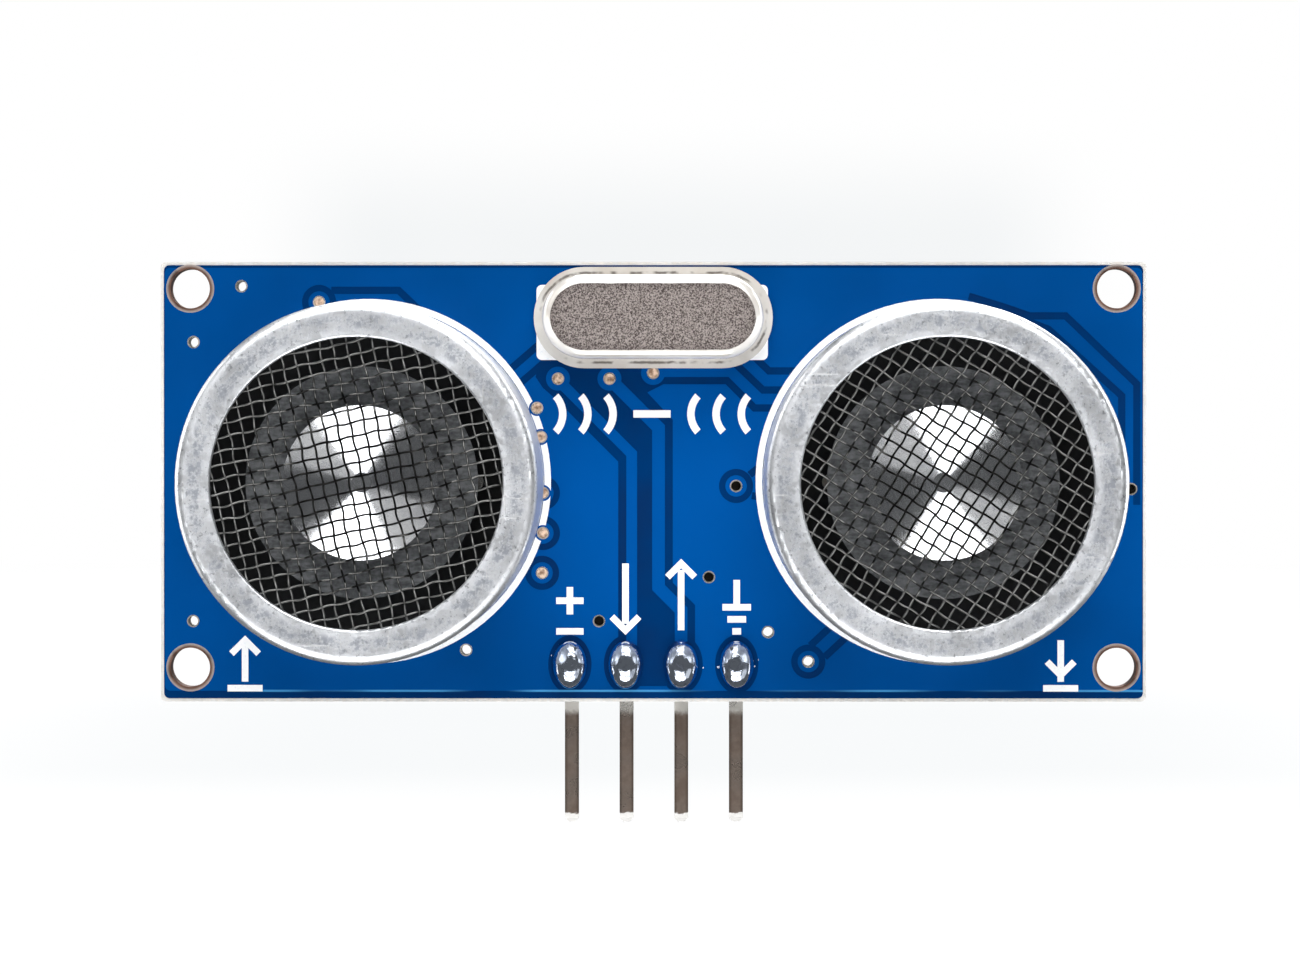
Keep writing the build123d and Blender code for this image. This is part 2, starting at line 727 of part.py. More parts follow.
# the two transducers
for side_name, side, mesh_turn in (("transmitter", -1, transmitter_mesh_turn),
                                   ("receiver", 1, receiver_mesh_turn)):
    cx = side * transducer_x
    cz = transducer_z
    axis = depth_axis(cx, cz)
    section = profile_plane(cx, cz)
    inner_radius = can_radius - can_wall
    lip_rear = -can_height + lip_thickness

    # drawn aluminium can, open to the rear, with a rolled lip in front
    with BuildPart() as can:
        with BuildSketch(section):
            with BuildLine():
                Polyline((inner_radius, lip_rear), (inner_radius, 0), (can_radius, 0),
                         (can_radius, -can_height + can_edge_round))
                CenterArc((can_radius - can_edge_round, -can_height + can_edge_round),
                          can_edge_round, 0, -90)
                Line((can_radius - can_edge_round, -can_height),
                     (can_opening + lip_edge_round, -can_height))
                CenterArc((can_opening + lip_edge_round, -can_height + lip_edge_round),
                          lip_edge_round, -90, -90)
                Polyline((can_opening, -can_height + lip_edge_round),
                         (can_opening, lip_rear), (inner_radius, lip_rear))
            make_face()
        revolve(axis=axis)
    save(can, side_name + "_can")

    # protective mesh, bonded behind the lip
    with BuildPart() as mesh:
        with BuildSketch(front_plane(lip_rear)):
            with Locations((cx, cz)):
                Circle(mesh_edge_radius)
            with Locations(*mesh_holes(cx, cz, mesh_turn)):
                Rectangle(mesh_gap, mesh_gap, rotation=mesh_turn, mode=Mode.SUBTRACT)
        extrude(amount=-mesh_thickness)
    save(mesh, side_name + "_mesh")

    # radiating cone, glued by its flat bottom to the drive plate
    with BuildPart() as cone:
        with BuildSketch(section):
            with BuildLine():
                Polyline((0, plate_front), (cone_flat, plate_front),
                         (cone_radius, plate_front - cone_depth),
                         (cone_radius, plate_front - cone_depth - cone_thickness),
                         (cone_flat, plate_front - cone_thickness),
                         (0, plate_front - cone_thickness), close=True)
            make_face()
        revolve(axis=axis)
    save(cone, side_name + "_cone")

    plate_rear = plate_front + plate_thickness
    with BuildPart() as drive_plate:
        with BuildSketch(front_plane(plate_front)):
            with Locations((cx, cz)):
                Circle(plate_radius)
        extrude(amount=-plate_thickness)
    save(drive_plate, side_name + "_drive_plate")

    with BuildPart() as piezo_disc:
        with BuildSketch(front_plane(plate_rear)):
            with Locations((cx, cz)):
                Circle(piezo_radius)
        extrude(amount=-piezo_thickness)
    save(piezo_disc, side_name + "_piezo_disc")

    # soft ring between the drive plate and the tube of the base
    with BuildPart() as seat_ring:
        with BuildSketch(front_plane(plate_rear)):
            with Locations((cx, cz)):
                Circle(seat_ring_outer)
                Circle(seat_ring_inner, mode=Mode.SUBTRACT)
        extrude(amount=plate_rear - seat_ring_rear)
    save(seat_ring, side_name + "_seat_ring")

    # moulded base: a disc with a notched support tube and two terminal holes
    with BuildPart() as base:
        with BuildSketch(front_plane(base_front)):
            with Locations((cx, cz)):
                Circle(inner_radius)
        extrude(amount=base_front - base_rear)
        with BuildSketch(front_plane(seat_ring_rear)):
            with Locations((cx, cz)):
                Circle(base_tube_outer)
                Circle(base_tube_inner, mode=Mode.SUBTRACT)
        extrude(amount=seat_ring_rear - base_front)
        with BuildSketch(front_plane(seat_ring_rear)):
            with Locations((cx + base_tube_outer, cz)):
                Rectangle(wire_notch_length, wire_notch_width)
        extrude(amount=-wire_notch_depth, mode=Mode.SUBTRACT)
        with BuildSketch(front_plane(base_front)):
            with Locations((cx - terminal_offset, cz), (cx + terminal_offset, cz)):
                Circle(terminal_radius)
        extrude(amount=base_front - base_rear, mode=Mode.SUBTRACT)
    save(base, side_name + "_base")

    with BuildPart() as terminals:
        with BuildSketch(front_plane(terminal_front)):
            with Locations((cx - terminal_offset, cz), (cx + terminal_offset, cz)):
                Circle(terminal_radius)
        extrude(amount=terminal_front - terminal_rear)
        chamfer(edges().filter_by(GeomType.CIRCLE).group_by(Axis.Y)[-1], terminal_chamfer)
    save(terminals, side_name + "_terminals")

    # one fine wire goes through the notch to the piezo disc, the other to the drive plate
    with BuildPart() as jumper_wires:
        with BuildLine() as piezo_wire:
            FilletPolyline(*[(cx + radius, y, cz) for radius, y in piezo_wire_route],
                           radius=jumper_bend)
        with BuildSketch(Plane(origin=piezo_wire.line @ 0, z_dir=piezo_wire.line % 0)):
            Circle(jumper_radius)
        sweep(path=piezo_wire.line)
        with BuildSketch(front_plane(plate_rear)):
            with Locations((cx - plate_wire_offset, cz)):
                Circle(jumper_radius)
        extrude(amount=plate_rear - terminal_front)
    save(jumper_wires, side_name + "_jumper_wires")

# crystal
flange_front = crystal_rear - crystal_base_thickness
can_front = crystal_rear - crystal_height
with BuildPart() as crystal_base:
    with BuildSketch(front_plane(crystal_rear)):
        with Locations((crystal_x, crystal_z)):
            SlotOverall(crystal_flange_length, crystal_flange_width)
    extrude(amount=crystal_base_thickness)
    with BuildSketch(front_plane(crystal_rear)):
        with Locations((crystal_x, crystal_z)):
            SlotOverall(crystal_plug_length, crystal_plug_width)
    extrude(amount=crystal_plug_height)
    with BuildSketch(front_plane(crystal_rear)):
        with Locations(*crystal_lead_places):
            Circle(glass_radius)
    extrude(amount=crystal_plug_height, mode=Mode.SUBTRACT)
save(crystal_base, "crystal_base")

with BuildPart() as crystal_glass_seals:
    with BuildSketch(front_plane(crystal_rear)):
        with Locations(*crystal_lead_places):
            Circle(glass_radius)
            Circle(crystal_lead_radius, mode=Mode.SUBTRACT)
    extrude(amount=crystal_plug_height)
save(crystal_glass_seals, "crystal_glass_seals")

with BuildPart() as crystal_can:
    with BuildSketch(front_plane(flange_front)):
        with Locations((crystal_x, crystal_z)):
            SlotOverall(crystal_length, crystal_width)
    extrude(amount=flange_front - can_front)
    fillet(edges().group_by(Axis.Y)[0], crystal_edge_round)
    with BuildSketch(front_plane(flange_front)):
        with Locations((crystal_x, crystal_z)):
            SlotOverall(crystal_flange_length, crystal_flange_width)
    extrude(amount=crystal_flange_thickness)
    with BuildSketch(front_plane(flange_front)):
        with Locations((crystal_x, crystal_z)):
            SlotOverall(crystal_length - 2 * crystal_wall, crystal_width - 2 * crystal_wall)
    extrude(amount=flange_front - can_front - crystal_wall, mode=Mode.SUBTRACT)
save(crystal_can, "crystal_can")

lead_front = crystal_rear - crystal_plug_height
with BuildPart() as crystal_leads:
    with BuildSketch(front_plane(lead_front)):
        with Locations(*crystal_lead_places):
            Circle(crystal_lead_radius)
    extrude(amount=lead_front - crystal_lead_rear)
save(crystal_leads, "crystal_leads")

# each clip lies on its lead and stands up at the end of the quartz blank
with BuildPart() as crystal_clips:
    for end in (-1, 1):
        with BuildSketch(Plane.XY.offset(crystal_z)):
            stroke([(end * (crystal_lead_offset - glass_radius), lead_front - clip_thickness / 2),
                    (end * (quartz_half_length + clip_thickness / 2),
                     lead_front - clip_thickness / 2),
                    (end * (quartz_half_length + clip_thickness / 2), quartz_front)],
                   clip_thickness)
        extrude(amount=clip_width / 2, both=True)
save(crystal_clips, "crystal_clips")

with BuildPart() as quartz_blank:
    with BuildSketch(front_plane(quartz_front)):
        with Locations((crystal_x, crystal_z)):
            Rectangle(2 * quartz_half_length, quartz_thickness)
    extrude(amount=-quartz_width)
save(quartz_blank, "quartz_blank")

# header
with BuildPart() as header_housing:
    with BuildSketch(front_plane(board_thickness)):
        housing_outline()
    extrude(amount=-pin_pitch)
    with BuildSketch(front_plane(board_thickness)):
        with Locations(*pin_places):
            Rectangle(pin_size, pin_size)
    extrude(amount=-pin_pitch, mode=Mode.SUBTRACT)
save(header_housing, "header_housing")

with BuildPart() as header_pins:
    for x in pin_xs:
        with BuildSketch(Plane.YZ.offset(x)):
            with BuildLine() as pin_path:
                FilletPolyline((pin_front, pin_z), (pin_down_y, pin_z), (pin_down_y, pin_tip_z),
                               radius=pin_bend_radius)
            trace(pin_path.line, line_width=pin_size)
        extrude(amount=pin_size / 2, both=True)
    chamfer(edges().group_by(Axis.Z)[0], pin_chamfer)
    chamfer(edges().group_by(Axis.Y)[0], pin_chamfer)
save(header_pins, "header_pins")

# solder
with BuildPart() as header_solder:
    for x in pin_xs:
        for step in range(dome_steps):
            rise = math.radians(step * dome_last_angle / (dome_steps - 1))
            with BuildSketch(front_plane(-dome_height * math.sin(rise))):
                with Locations((x, pin_z)):
                    Ellipse(dome_half_width * math.cos(rise) ** dome_fullness,
                            dome_half_height * math.cos(rise) ** dome_fullness)
        loft()
    with BuildSketch(front_plane(0)):
        with Locations(*pin_places):
            Circle(header_hole_radius)
    extrude(amount=-board_thickness)
    with BuildSketch(front_plane(pin_front)):
        with Locations(*pin_places):
            Rectangle(pin_size, pin_size)
    extrude(amount=pin_front - board_thickness, mode=Mode.SUBTRACT)
save(header_solder, "header_solder")

# concave cones round the transducer terminals and the crystal leads
with BuildPart() as lead_solder:
    for x, z, radius, pad in lead_holes:
        lead = terminal_radius if radius > crystal_hole_radius else crystal_lead_radius
        joint_top = board_thickness + joint_height
        with BuildSketch(profile_plane(x, z)):
            with BuildLine():
                Polyline((lead, joint_top), (lead, laminate_front), (radius, laminate_front),
                         (radius, board_thickness), (pad, board_thickness))
                ThreePointArc((pad, board_thickness),
                              (lead + (pad - lead) * joint_waist[0],
                               board_thickness + joint_height * joint_waist[1]),
                              (lead + joint_neck, joint_top))
                Line((lead + joint_neck, joint_top), (lead, joint_top))
            make_face()
        revolve(axis=depth_axis(x, z))
save(lead_solder, "lead_solder")

# small-outline chips
for name, (chip_x, chip_z, lead_count) in chips.items():
    body_mid = board_thickness + chip_standoff + chip_body_thickness / 2
    with BuildPart() as chip_body:
        with BuildSketch(front_plane(body_mid)):
            with Locations((chip_x, chip_z)):
                Rectangle(chip_body_width, chip_length(name))
        extrude(amount=chip_body_thickness / 2, both=True, taper=chip_taper)
        with BuildSketch(front_plane(body_mid + chip_body_thickness / 2)):
            with Locations((chip_x - chip_dimple_x, chip_z + chip_length(name) / 2 - chip_dimple_x)):
                Circle(chip_dimple_radius)
        extrude(amount=chip_dimple_depth, mode=Mode.SUBTRACT)
    save(chip_body, name + "_body")

    with BuildPart() as chip_leads:
        foot_y = board_thickness + lead_thickness / 2
        for lead_side, dz in chip_rows(name):
            with BuildSketch(Plane.XY.offset(chip_z + dz)):
                stroke([(chip_x + lead_side * chip_body_width / 2, body_mid),
                        (chip_x + lead_side * lead_knee, body_mid),
                        (chip_x + lead_side * (lead_span / 2 - lead_foot), foot_y),
                        (chip_x + lead_side * lead_span / 2, foot_y)], lead_thickness)
            extrude(amount=lead_width / 2, both=True)
    save(chip_leads, name + "_leads")

# chip resistors and capacitors
for kind, places, thickness in (("resistor", resistors, resistor_thickness),
                                ("capacitor", capacitors, capacitor_thickness)):
    core_length = passive_length - 2 * cap_skin
    core_width = passive_width - 2 * cap_skin
    core_thickness = thickness - 2 * cap_skin
    with BuildPart() as cores:
        for x, z, turn in places:
            with BuildSketch(front_plane(board_thickness + cap_skin)):
                with Locations((x, z)):
                    Rectangle(core_length, core_width, rotation=turn)
            extrude(amount=-core_thickness)
    save(cores, "chip_" + kind + "_bodies")

    with BuildPart() as end_caps:
        for x, z, turn in places:
            with BuildSketch(front_plane(board_thickness)):
                for end in (-1, 1):
                    dx, dz = turned(end * (passive_length - cap_length) / 2, 0, turn)
                    with Locations((x + dx, z + dz)):
                        Rectangle(cap_length, passive_width, rotation=turn)
            extrude(amount=-thickness)
            with BuildSketch(front_plane(board_thickness + cap_skin)):
                with Locations((x, z)):
                    Rectangle(core_length, core_width, rotation=turn)
            extrude(amount=-core_thickness, mode=Mode.SUBTRACT)
    save(end_caps, "chip_" + kind + "_ends")

# transistor
transistor_mid = board_thickness + chip_standoff + transistor_body_thickness / 2
with BuildPart() as transistor_body:
    with BuildSketch(front_plane(transistor_mid)):
        with Locations((transistor_x, transistor_z)):
            Rectangle(transistor_body_length, transistor_body_width)
    extrude(amount=transistor_body_thickness / 2, both=True, taper=chip_taper)
save(transistor_body, "transistor_body")

with BuildPart() as transistor_legs:
    foot_y = board_thickness + lead_thickness / 2
    for dx, lead_side in transistor_leads:
        with BuildSketch(Plane.YZ.offset(transistor_x + dx)):
            stroke([(transistor_mid, transistor_z + lead_side * transistor_body_width / 2),
                    (transistor_mid, transistor_z + lead_side * transistor_knee),
                    (foot_y, transistor_z + lead_side * (transistor_lead_reach - lead_thickness)),
                    (foot_y, transistor_z + lead_side * (transistor_lead_reach + lead_thickness))],
                   lead_thickness)
        extrude(amount=lead_width / 2, both=True)
save(transistor_legs, "transistor_leads")
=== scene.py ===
import math
import bpy
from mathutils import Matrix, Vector


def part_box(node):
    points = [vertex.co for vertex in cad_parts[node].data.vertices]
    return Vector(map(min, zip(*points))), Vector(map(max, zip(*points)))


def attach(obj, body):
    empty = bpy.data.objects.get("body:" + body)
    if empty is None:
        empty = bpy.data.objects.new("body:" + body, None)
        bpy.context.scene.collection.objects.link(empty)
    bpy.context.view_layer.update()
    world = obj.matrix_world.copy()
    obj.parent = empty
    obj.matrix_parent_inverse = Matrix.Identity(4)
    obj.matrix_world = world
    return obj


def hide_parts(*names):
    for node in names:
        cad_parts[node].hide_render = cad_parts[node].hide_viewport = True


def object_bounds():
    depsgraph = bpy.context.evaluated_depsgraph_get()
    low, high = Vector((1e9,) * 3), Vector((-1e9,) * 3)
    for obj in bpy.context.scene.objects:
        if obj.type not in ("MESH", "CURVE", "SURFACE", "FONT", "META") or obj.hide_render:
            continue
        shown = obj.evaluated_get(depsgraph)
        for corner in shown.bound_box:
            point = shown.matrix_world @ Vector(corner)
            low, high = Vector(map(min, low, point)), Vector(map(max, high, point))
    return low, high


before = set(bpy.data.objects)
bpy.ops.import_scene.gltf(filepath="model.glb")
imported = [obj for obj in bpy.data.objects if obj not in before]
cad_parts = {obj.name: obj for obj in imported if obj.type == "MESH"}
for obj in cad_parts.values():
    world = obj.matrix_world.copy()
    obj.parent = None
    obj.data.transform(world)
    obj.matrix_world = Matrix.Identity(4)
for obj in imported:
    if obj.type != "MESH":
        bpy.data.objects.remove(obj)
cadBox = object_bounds()
nodeObjects = {o.name: o for o in bpy.data.objects if o.type == "MESH"}
mm = 0.001
print("stage 1: frame loaded,", len(nodeObjects), "nodes")


def tone(r, g, b):
    # a screen colour, 0 to 255, as a linear colour with alpha
    def linear(c):
        c = c / 255
        return c / 12.92 if c <= 0.04045 else ((c + 0.055) / 1.055) ** 2.4
    return (linear(r), linear(g), linear(b), 1.0)


def middle(node):
    low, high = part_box(node)
    return [(a + b) / 2 for a, b in zip(low, high)]


class Wire:
    # one output socket, so that shader maths reads as plain arithmetic
    def __init__(self, finish, socket):
        self.finish = finish
        self.socket = socket

    def maths(self, operation, first, second):
        return self.finish.node("Math", {"operation": operation}, {0: first, 1: second})

    def __add__(self, other):
        return self.maths("ADD", self, other)

    def __radd__(self, other):
        return self.maths("ADD", other, self)

    def __sub__(self, other):
        return self.maths("SUBTRACT", self, other)

    def __rsub__(self, other):
        return self.maths("SUBTRACT", other, self)

    def __mul__(self, other):
        return self.maths("MULTIPLY", self, other)

    def __rmul__(self, other):
        return self.maths("MULTIPLY", other, self)

    def __truediv__(self, other):
        return self.maths("DIVIDE", self, other)

    def __pow__(self, other):
        return self.maths("POWER", self, other)

    def __lt__(self, other):
        return self.maths("LESS_THAN", self, other)

    def __gt__(self, other):
        return self.maths("GREATER_THAN", self, other)


class Finish:
    # a material under construction, with one shader
    def __init__(self, name):
        self.material = bpy.data.materials.new(name)
        self.material.use_nodes = True
        self.tree = self.material.node_tree
        self.tree.nodes.clear()
        self.output = self.tree.nodes.new("ShaderNodeOutputMaterial")
        self.shader = self.tree.nodes.new("ShaderNodeBsdfPrincipled")
        self.tree.links.new(self.shader.outputs[0], self.output.inputs[0])
        self.where = self.node("TexCoord", out="Object")

    def node(self, kind, settings=None, sockets=None, out=0):
        made = self.tree.nodes.new("ShaderNode" + kind)
        for key, value in (settings or {}).items():
            setattr(made, key, value)
        for key, value in (sockets or {}).items():
            self.plug(made.inputs[key], value)
        return Wire(self, made.outputs[out])

    def plug(self, socket, value):
        if isinstance(value, Wire):
            self.tree.links.new(value.socket, socket)
        else:
            socket.default_value = value

    def axis(self, letter):
        # one object coordinate, in millimetres
        return self.node("SeparateXYZ", None, {0: self.where}, out=letter) * 1000

    def fromAxis(self, centre):
        # distance from a line along Y through the centre, in millimetres
        dx = self.axis("X") - centre[0] / mm
        dz = self.axis("Z") - centre[2] / mm
        return (dx * dx + dz * dz) ** 0.5

    def stretched(self, scale, turn=(0, 0, 0)):
        return self.node("Mapping", None, {"Vector": self.where, "Scale": scale, "Rotation": turn})

    def noise(self, size, detail=3.0, rough=0.55, where=None):
        # size is the width of one lump, in millimetres
        return self.node("TexNoise", None, {"Vector": where or self.where, "Scale": 1000 / size,
                                            "Detail": detail, "Roughness": rough}, out=0)

    def size(self, value):
        # the value without its sign
        return self.node("Math", {"operation": "ABSOLUTE"}, {0: value})

    def fade(self, value, low, high, start=0.0, end=1.0):
        return self.node("MapRange", {"interpolation_type": "SMOOTHSTEP"},
                         {"Value": value, "From Min": low, "From Max": high,
                          "To Min": start, "To Max": end})

    def blend(self, mask, first, second):
        return self.node("Mix", {"data_type": "RGBA"}, {0: mask, 6: first, 7: second}, out=2)

    def bump(self, height, distance, strength=1.0, under=None):
        # distance in millimetres
        sockets = {"Height": height, "Distance": distance * mm, "Strength": strength}
        if under is not None:
            sockets["Normal"] = under
        return self.node("Bump", None, sockets)

    def done(self, **looks):
        names = {"colour": "Base Color", "roughness": "Roughness", "metallic": "Metallic",
                 "normal": "Normal", "ior": "IOR", "specular": "Specular IOR Level",
                 "transmission": "Transmission Weight", "glow": "Emission Color",
                 "glowStrength": "Emission Strength"}
        for look, value in looks.items():
            self.plug(self.shader.inputs[names[look]], value)
        return self.material


def dress(material, *nodes):
    for node in nodes:
        mesh = nodeObjects[node].data
        mesh.materials.clear()
        mesh.materials.append(material)
    return material


view = {"eye": (1.7, -314.0, 2.43), "aim": (-0.15, 0.0, -0.43), "frameWidth": 59.36, "sensor": 36.0}


def addCamera():
    eye = Vector(view["eye"]) * mm
    aim = Vector(view["aim"]) * mm
    camera = bpy.data.cameras.new("camera")
    camera.sensor_width = view["sensor"]
    camera.lens = view["sensor"] * (aim - eye).length / mm / view["frameWidth"]
    camera.clip_start = 0.01
    camera.clip_end = 20
    seat = bpy.data.objects.new("camera", camera)
    seat.location = eye
    seat.rotation_euler = (aim - eye).to_track_quat("-Z", "Y").to_euler()
    bpy.context.collection.objects.link(seat)
    bpy.context.scene.camera = seat


studio = {
    "floorSize": 4.0, "wallAt": 0.6,
    "paper": tone(255, 255, 255), "paintedShadow": tone(243, 245, 246),
    "floorTint": 0.045,           # how much of the lamps' light the floor shows
    # where the painted shadow on the paper comes up and goes again, in millimetres
    "floorNear": (5.0, 60.0), "floorFar": (110.0, 260.0), "floorAcross": (16.0, 60.0),
    "wallAcross": (38.0, 60.0), "wallUp": (26.0, 44.0),
    "worldLight": (0.13, 0.134, 0.138, 1.0),
    "boxes": [   # name, place, width, height (metres), power (watts)
        ("highFront", (0.02, -0.30, 0.34), 0.42, 0.20, 1.4),
        ("lowFront", (-0.02, -0.30, -0.34), 0.42, 0.20, 1.25),
        ("highLeft", (-0.27, -0.30, 0.23), 0.26, 0.28, 0.17),
        ("lowRight", (0.27, -0.30, -0.23), 0.26, 0.28, 0.17),
        ("leftRear", (-0.40, 0.10, 0.05), 0.30, 0.50, 1.1),
        ("rightRear", (0.40, 0.10, 0.05), 0.30, 0.50, 1.1),
        ("frontUp", (0.02, -0.55, 0.24), 0.44, 0.16, 0.62),
        ("frontDown", (-0.02, -0.55, -0.24), 0.44, 0.16, 0.62),
        ("rearTop", (0.1, 0.36, 0.36), 0.40, 0.30, 1.8),
        ("overhead", (0.0, 0.0, 0.6), 0.6, 0.6, 1.8),
    ],
}


def addCard(name, corners, material):
    # one plain sheet that only the camera sees
    mesh = bpy.data.meshes.new(name)
    mesh.from_pydata(corners, [], [(0, 1, 2, 3)])
    mesh.materials.append(material)
    card = bpy.data.objects.new(name, mesh)
    bpy.context.collection.objects.link(card)
    card.visible_diffuse = False
    card.visible_glossy = False
    card.visible_shadow = False
    card.visible_transmission = False


def floorFinish():
    # paper white, with a painted shadow: a little greyer close behind the object
    finish = Finish("floorPaper")
    depth = finish.axis("Y")
    near = finish.fade(depth, *studio["floorNear"])
    far = finish.fade(depth, *studio["floorFar"], 1.0, 0.0)
    across = finish.fade(finish.size(finish.axis("X")), *studio["floorAcross"], 1.0, 0.0)
    shade = near * far * across
    tint = studio["floorTint"]
    grain = finish.fade(finish.noise(60.0, 2.0), 0.3, 0.7, tint * 0.96, tint)
    glow = finish.blend(shade, studio["paper"], studio["paintedShadow"])
    return finish.done(colour=finish.blend(grain, (0, 0, 0, 1), studio["paper"]), roughness=0.9,
                       specular=0.0, glow=glow, glowStrength=0.97)


def wallFinish():
    # a painted shadow: the object's soft shade on the paper behind it
    finish = Finish("wallPaper")
    across = finish.fade(finish.size(finish.axis("X")), *studio["wallAcross"], 1.0, 0.0)
    up = finish.fade(finish.axis("Z"), *studio["wallUp"], 1.0, 0.0)
    shade = across * up * finish.fade(finish.noise(40.0, 2.0), 0.2, 0.6, 0.85, 1.0)
    return finish.done(colour=(0, 0, 0, 1), roughness=1.0, specular=0.0, glowStrength=1.0,
                       glow=finish.blend(shade, studio["paper"], studio["paintedShadow"]))


def addStudio():
    for name, place, width, height, power in studio["boxes"]:
        lamp = bpy.data.lights.new(name, "AREA")
        lamp.shape = "RECTANGLE"
        lamp.size = width
        lamp.size_y = height
        lamp.energy = power
        seat = bpy.data.objects.new(name, lamp)
        seat.location = place
        seat.rotation_euler = (-Vector(place)).to_track_quat("-Z", "Y").to_euler()
        bpy.context.collection.objects.link(seat)

    low = cadBox[0][2]
    half = studio["floorSize"] / 2
    back = studio["wallAt"]
    addCard("floor", [(-half, -half, low), (half, -half, low),
                      (half, back, low), (-half, back, low)], floorFinish())
    addCard("wall", [(-half, back, low), (half, back, low),
                     (half, back, half), (-half, back, half)], wallFinish())

    world = bpy.data.worlds.new("studio")
    world.use_nodes = True
    nodes, links = world.node_tree.nodes, world.node_tree.links
    nodes.clear()
    output = nodes.new("ShaderNodeOutputWorld")
    mix = nodes.new("ShaderNodeMixShader")
    seen = nodes.new("ShaderNodeBackground")
    light = nodes.new("ShaderNodeBackground")
    path = nodes.new("ShaderNodeLightPath")
    seen.inputs[0].default_value = studio["paper"]
    light.inputs[0].default_value = studio["worldLight"]
    links.new(path.outputs["Is Camera Ray"], mix.inputs[0])
    links.new(light.outputs[0], mix.inputs[1])
    links.new(seen.outputs[0], mix.inputs[2])
    links.new(mix.outputs[0], output.inputs[0])
    bpy.context.scene.world = world
    bpy.context.scene.view_settings.view_transform = "Standard"


boardLook = {
    "overCopper": tone(0, 73, 143), "overCopperDeep": tone(0, 67, 132), "between": tone(0, 76, 149),
    "channel": tone(0, 48, 100), "channelDeep": tone(6, 42, 88),
    "maskRough": 0.2, "gloss": 0.03, "edgeLine": tone(70, 150, 205),
    "edgePale": tone(238, 239, 240), "edgeDark": tone(196, 190, 178),
}


def maskFinish(name, surfaceY, channelY):
    # light over the copper, navy where the mask dips into a channel
    finish = Finish(name)
    depth = finish.axis("Y")
    dip = finish.fade(depth, min(surfaceY, channelY) + 0.003, max(surfaceY, channelY) - 0.003)
    if channelY < surfaceY:
        dip = 1 - dip
    drift = finish.fade(finish.noise(9.0, 2.0), 0.35, 0.65)
    copper = finish.blend(drift, boardLook["overCopper"], boardLook["overCopperDeep"])
    # painted light: the mask is a little lighter in the middle of the board and darker towards its
    # edges, as if the lamps' light fell off there
    between = finish.fade(finish.size(finish.axis("X")), 2.5, 10.0, 1.0, 0.0)
    between = between * finish.fade(finish.size(finish.axis("Z") + 1.0), 4.0, 9.0, 1.0, 0.0)
    copper = finish.blend(between, copper, boardLook["between"])
    bare = finish.blend(finish.fade(finish.noise(5.0), 0.4, 0.7),
                        boardLook["channel"], boardLook["channelDeep"])
    colour = finish.blend(dip, copper, bare)
    # a painted highlight along the foil's lower edge, as if it caught the light through the mask,
    # in broken stretches
    low = finish.axis("Z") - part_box("front_copper")[0][2] / mm
    line = finish.fade(finish.size(low), 0.02, 0.07, 1.0, 0.0)
    lineBreaks = finish.fade(finish.noise(6.0, 1.0), 0.42, 0.62)
    colour = finish.blend(line * lineBreaks, colour, boardLook["edgeLine"])
    orange = finish.noise(0.35, 2.0)
    weave = finish.noise(1.6, 2.0, where=finish.stretched((1.0, 1.0, 0.35)))
    rough = finish.fade(finish.noise(2.5), 0.3, 0.7, boardLook["maskRough"] - 0.04,
                        boardLook["maskRough"] + 0.07)
    normal = finish.bump(weave, 0.006, 0.5, finish.bump(orange, 0.002, 0.4))
    return finish.done(colour=colour, roughness=rough, normal=normal, ior=1.5,
                       specular=boardLook["gloss"])


def laminateFinish():
    # sawn edge of glass cloth and resin: fine layers through the thickness
    finish = Finish("bareLaminate")
    depth = finish.axis("Y")
    layers = finish.node("TexWave", {"wave_type": "BANDS", "bands_direction": "Y"},
                         {"Vector": finish.where, "Scale": 1000 / 0.62, "Distortion": 1.6,
                          "Detail": 3.0, "Detail Scale": 2.0}, out=1)
    speck = finish.fade(finish.noise(0.12, 4.0), 0.42, 0.62)
    colour = finish.blend(layers * 0.6, boardLook["edgePale"], boardLook["edgeDark"])
    colour = finish.blend(speck * 0.35, colour, tone(240, 228, 215))
    normal = finish.bump(layers + speck * 0.6, 0.02, 0.6)
    rough = finish.fade(depth + speck, 0.0, 2.6, 0.55, 0.75)
    return finish.done(colour=colour, roughness=rough, normal=normal)


def copperFinish():
    finish = Finish("copperFoil")
    stain = finish.fade(finish.noise(0.8, 4.0), 0.35, 0.7)
    colour = finish.blend(stain, tone(214, 150, 112), tone(168, 104, 70))
    return finish.done(colour=colour, metallic=1.0, roughness=stain * 0.2 + 0.25,
                       normal=finish.bump(finish.noise(0.1), 0.003, 0.5))


def inkFinish():
    # screen-printed ink: a faint weave shows through, with tiny pinholes
    finish = Finish("whiteInk")
    pits = finish.fade(finish.noise(0.11, 3.0), 0.28, 0.42)
    weave = finish.noise(0.5, 2.0)
    colour = finish.blend(pits, tone(232, 238, 244), tone(255, 255, 255))
    return finish.done(colour=colour, roughness=finish.fade(weave, 0.3, 0.7, 0.42, 0.6),
                       normal=finish.bump(weave + pits * 0.5, 0.006, 0.6), specular=0.4)


def tinFinish():
    finish = Finish("tinPlate")
    stain = finish.fade(finish.noise(0.5, 4.0), 0.35, 0.7)
    colour = finish.blend(stain, tone(236, 232, 222), tone(186, 172, 160))
    return finish.done(colour=colour, metallic=1.0, roughness=stain * 0.18 + 0.22,
                       normal=finish.bump(finish.noise(0.15, 3.0), 0.004, 0.6))


ringLook = {"holeX": 21.15, "holeZ": 8.65, "wall": tone(118, 88, 76), "rim": tone(222, 214, 210),
            "flux": tone(128, 100, 88)}


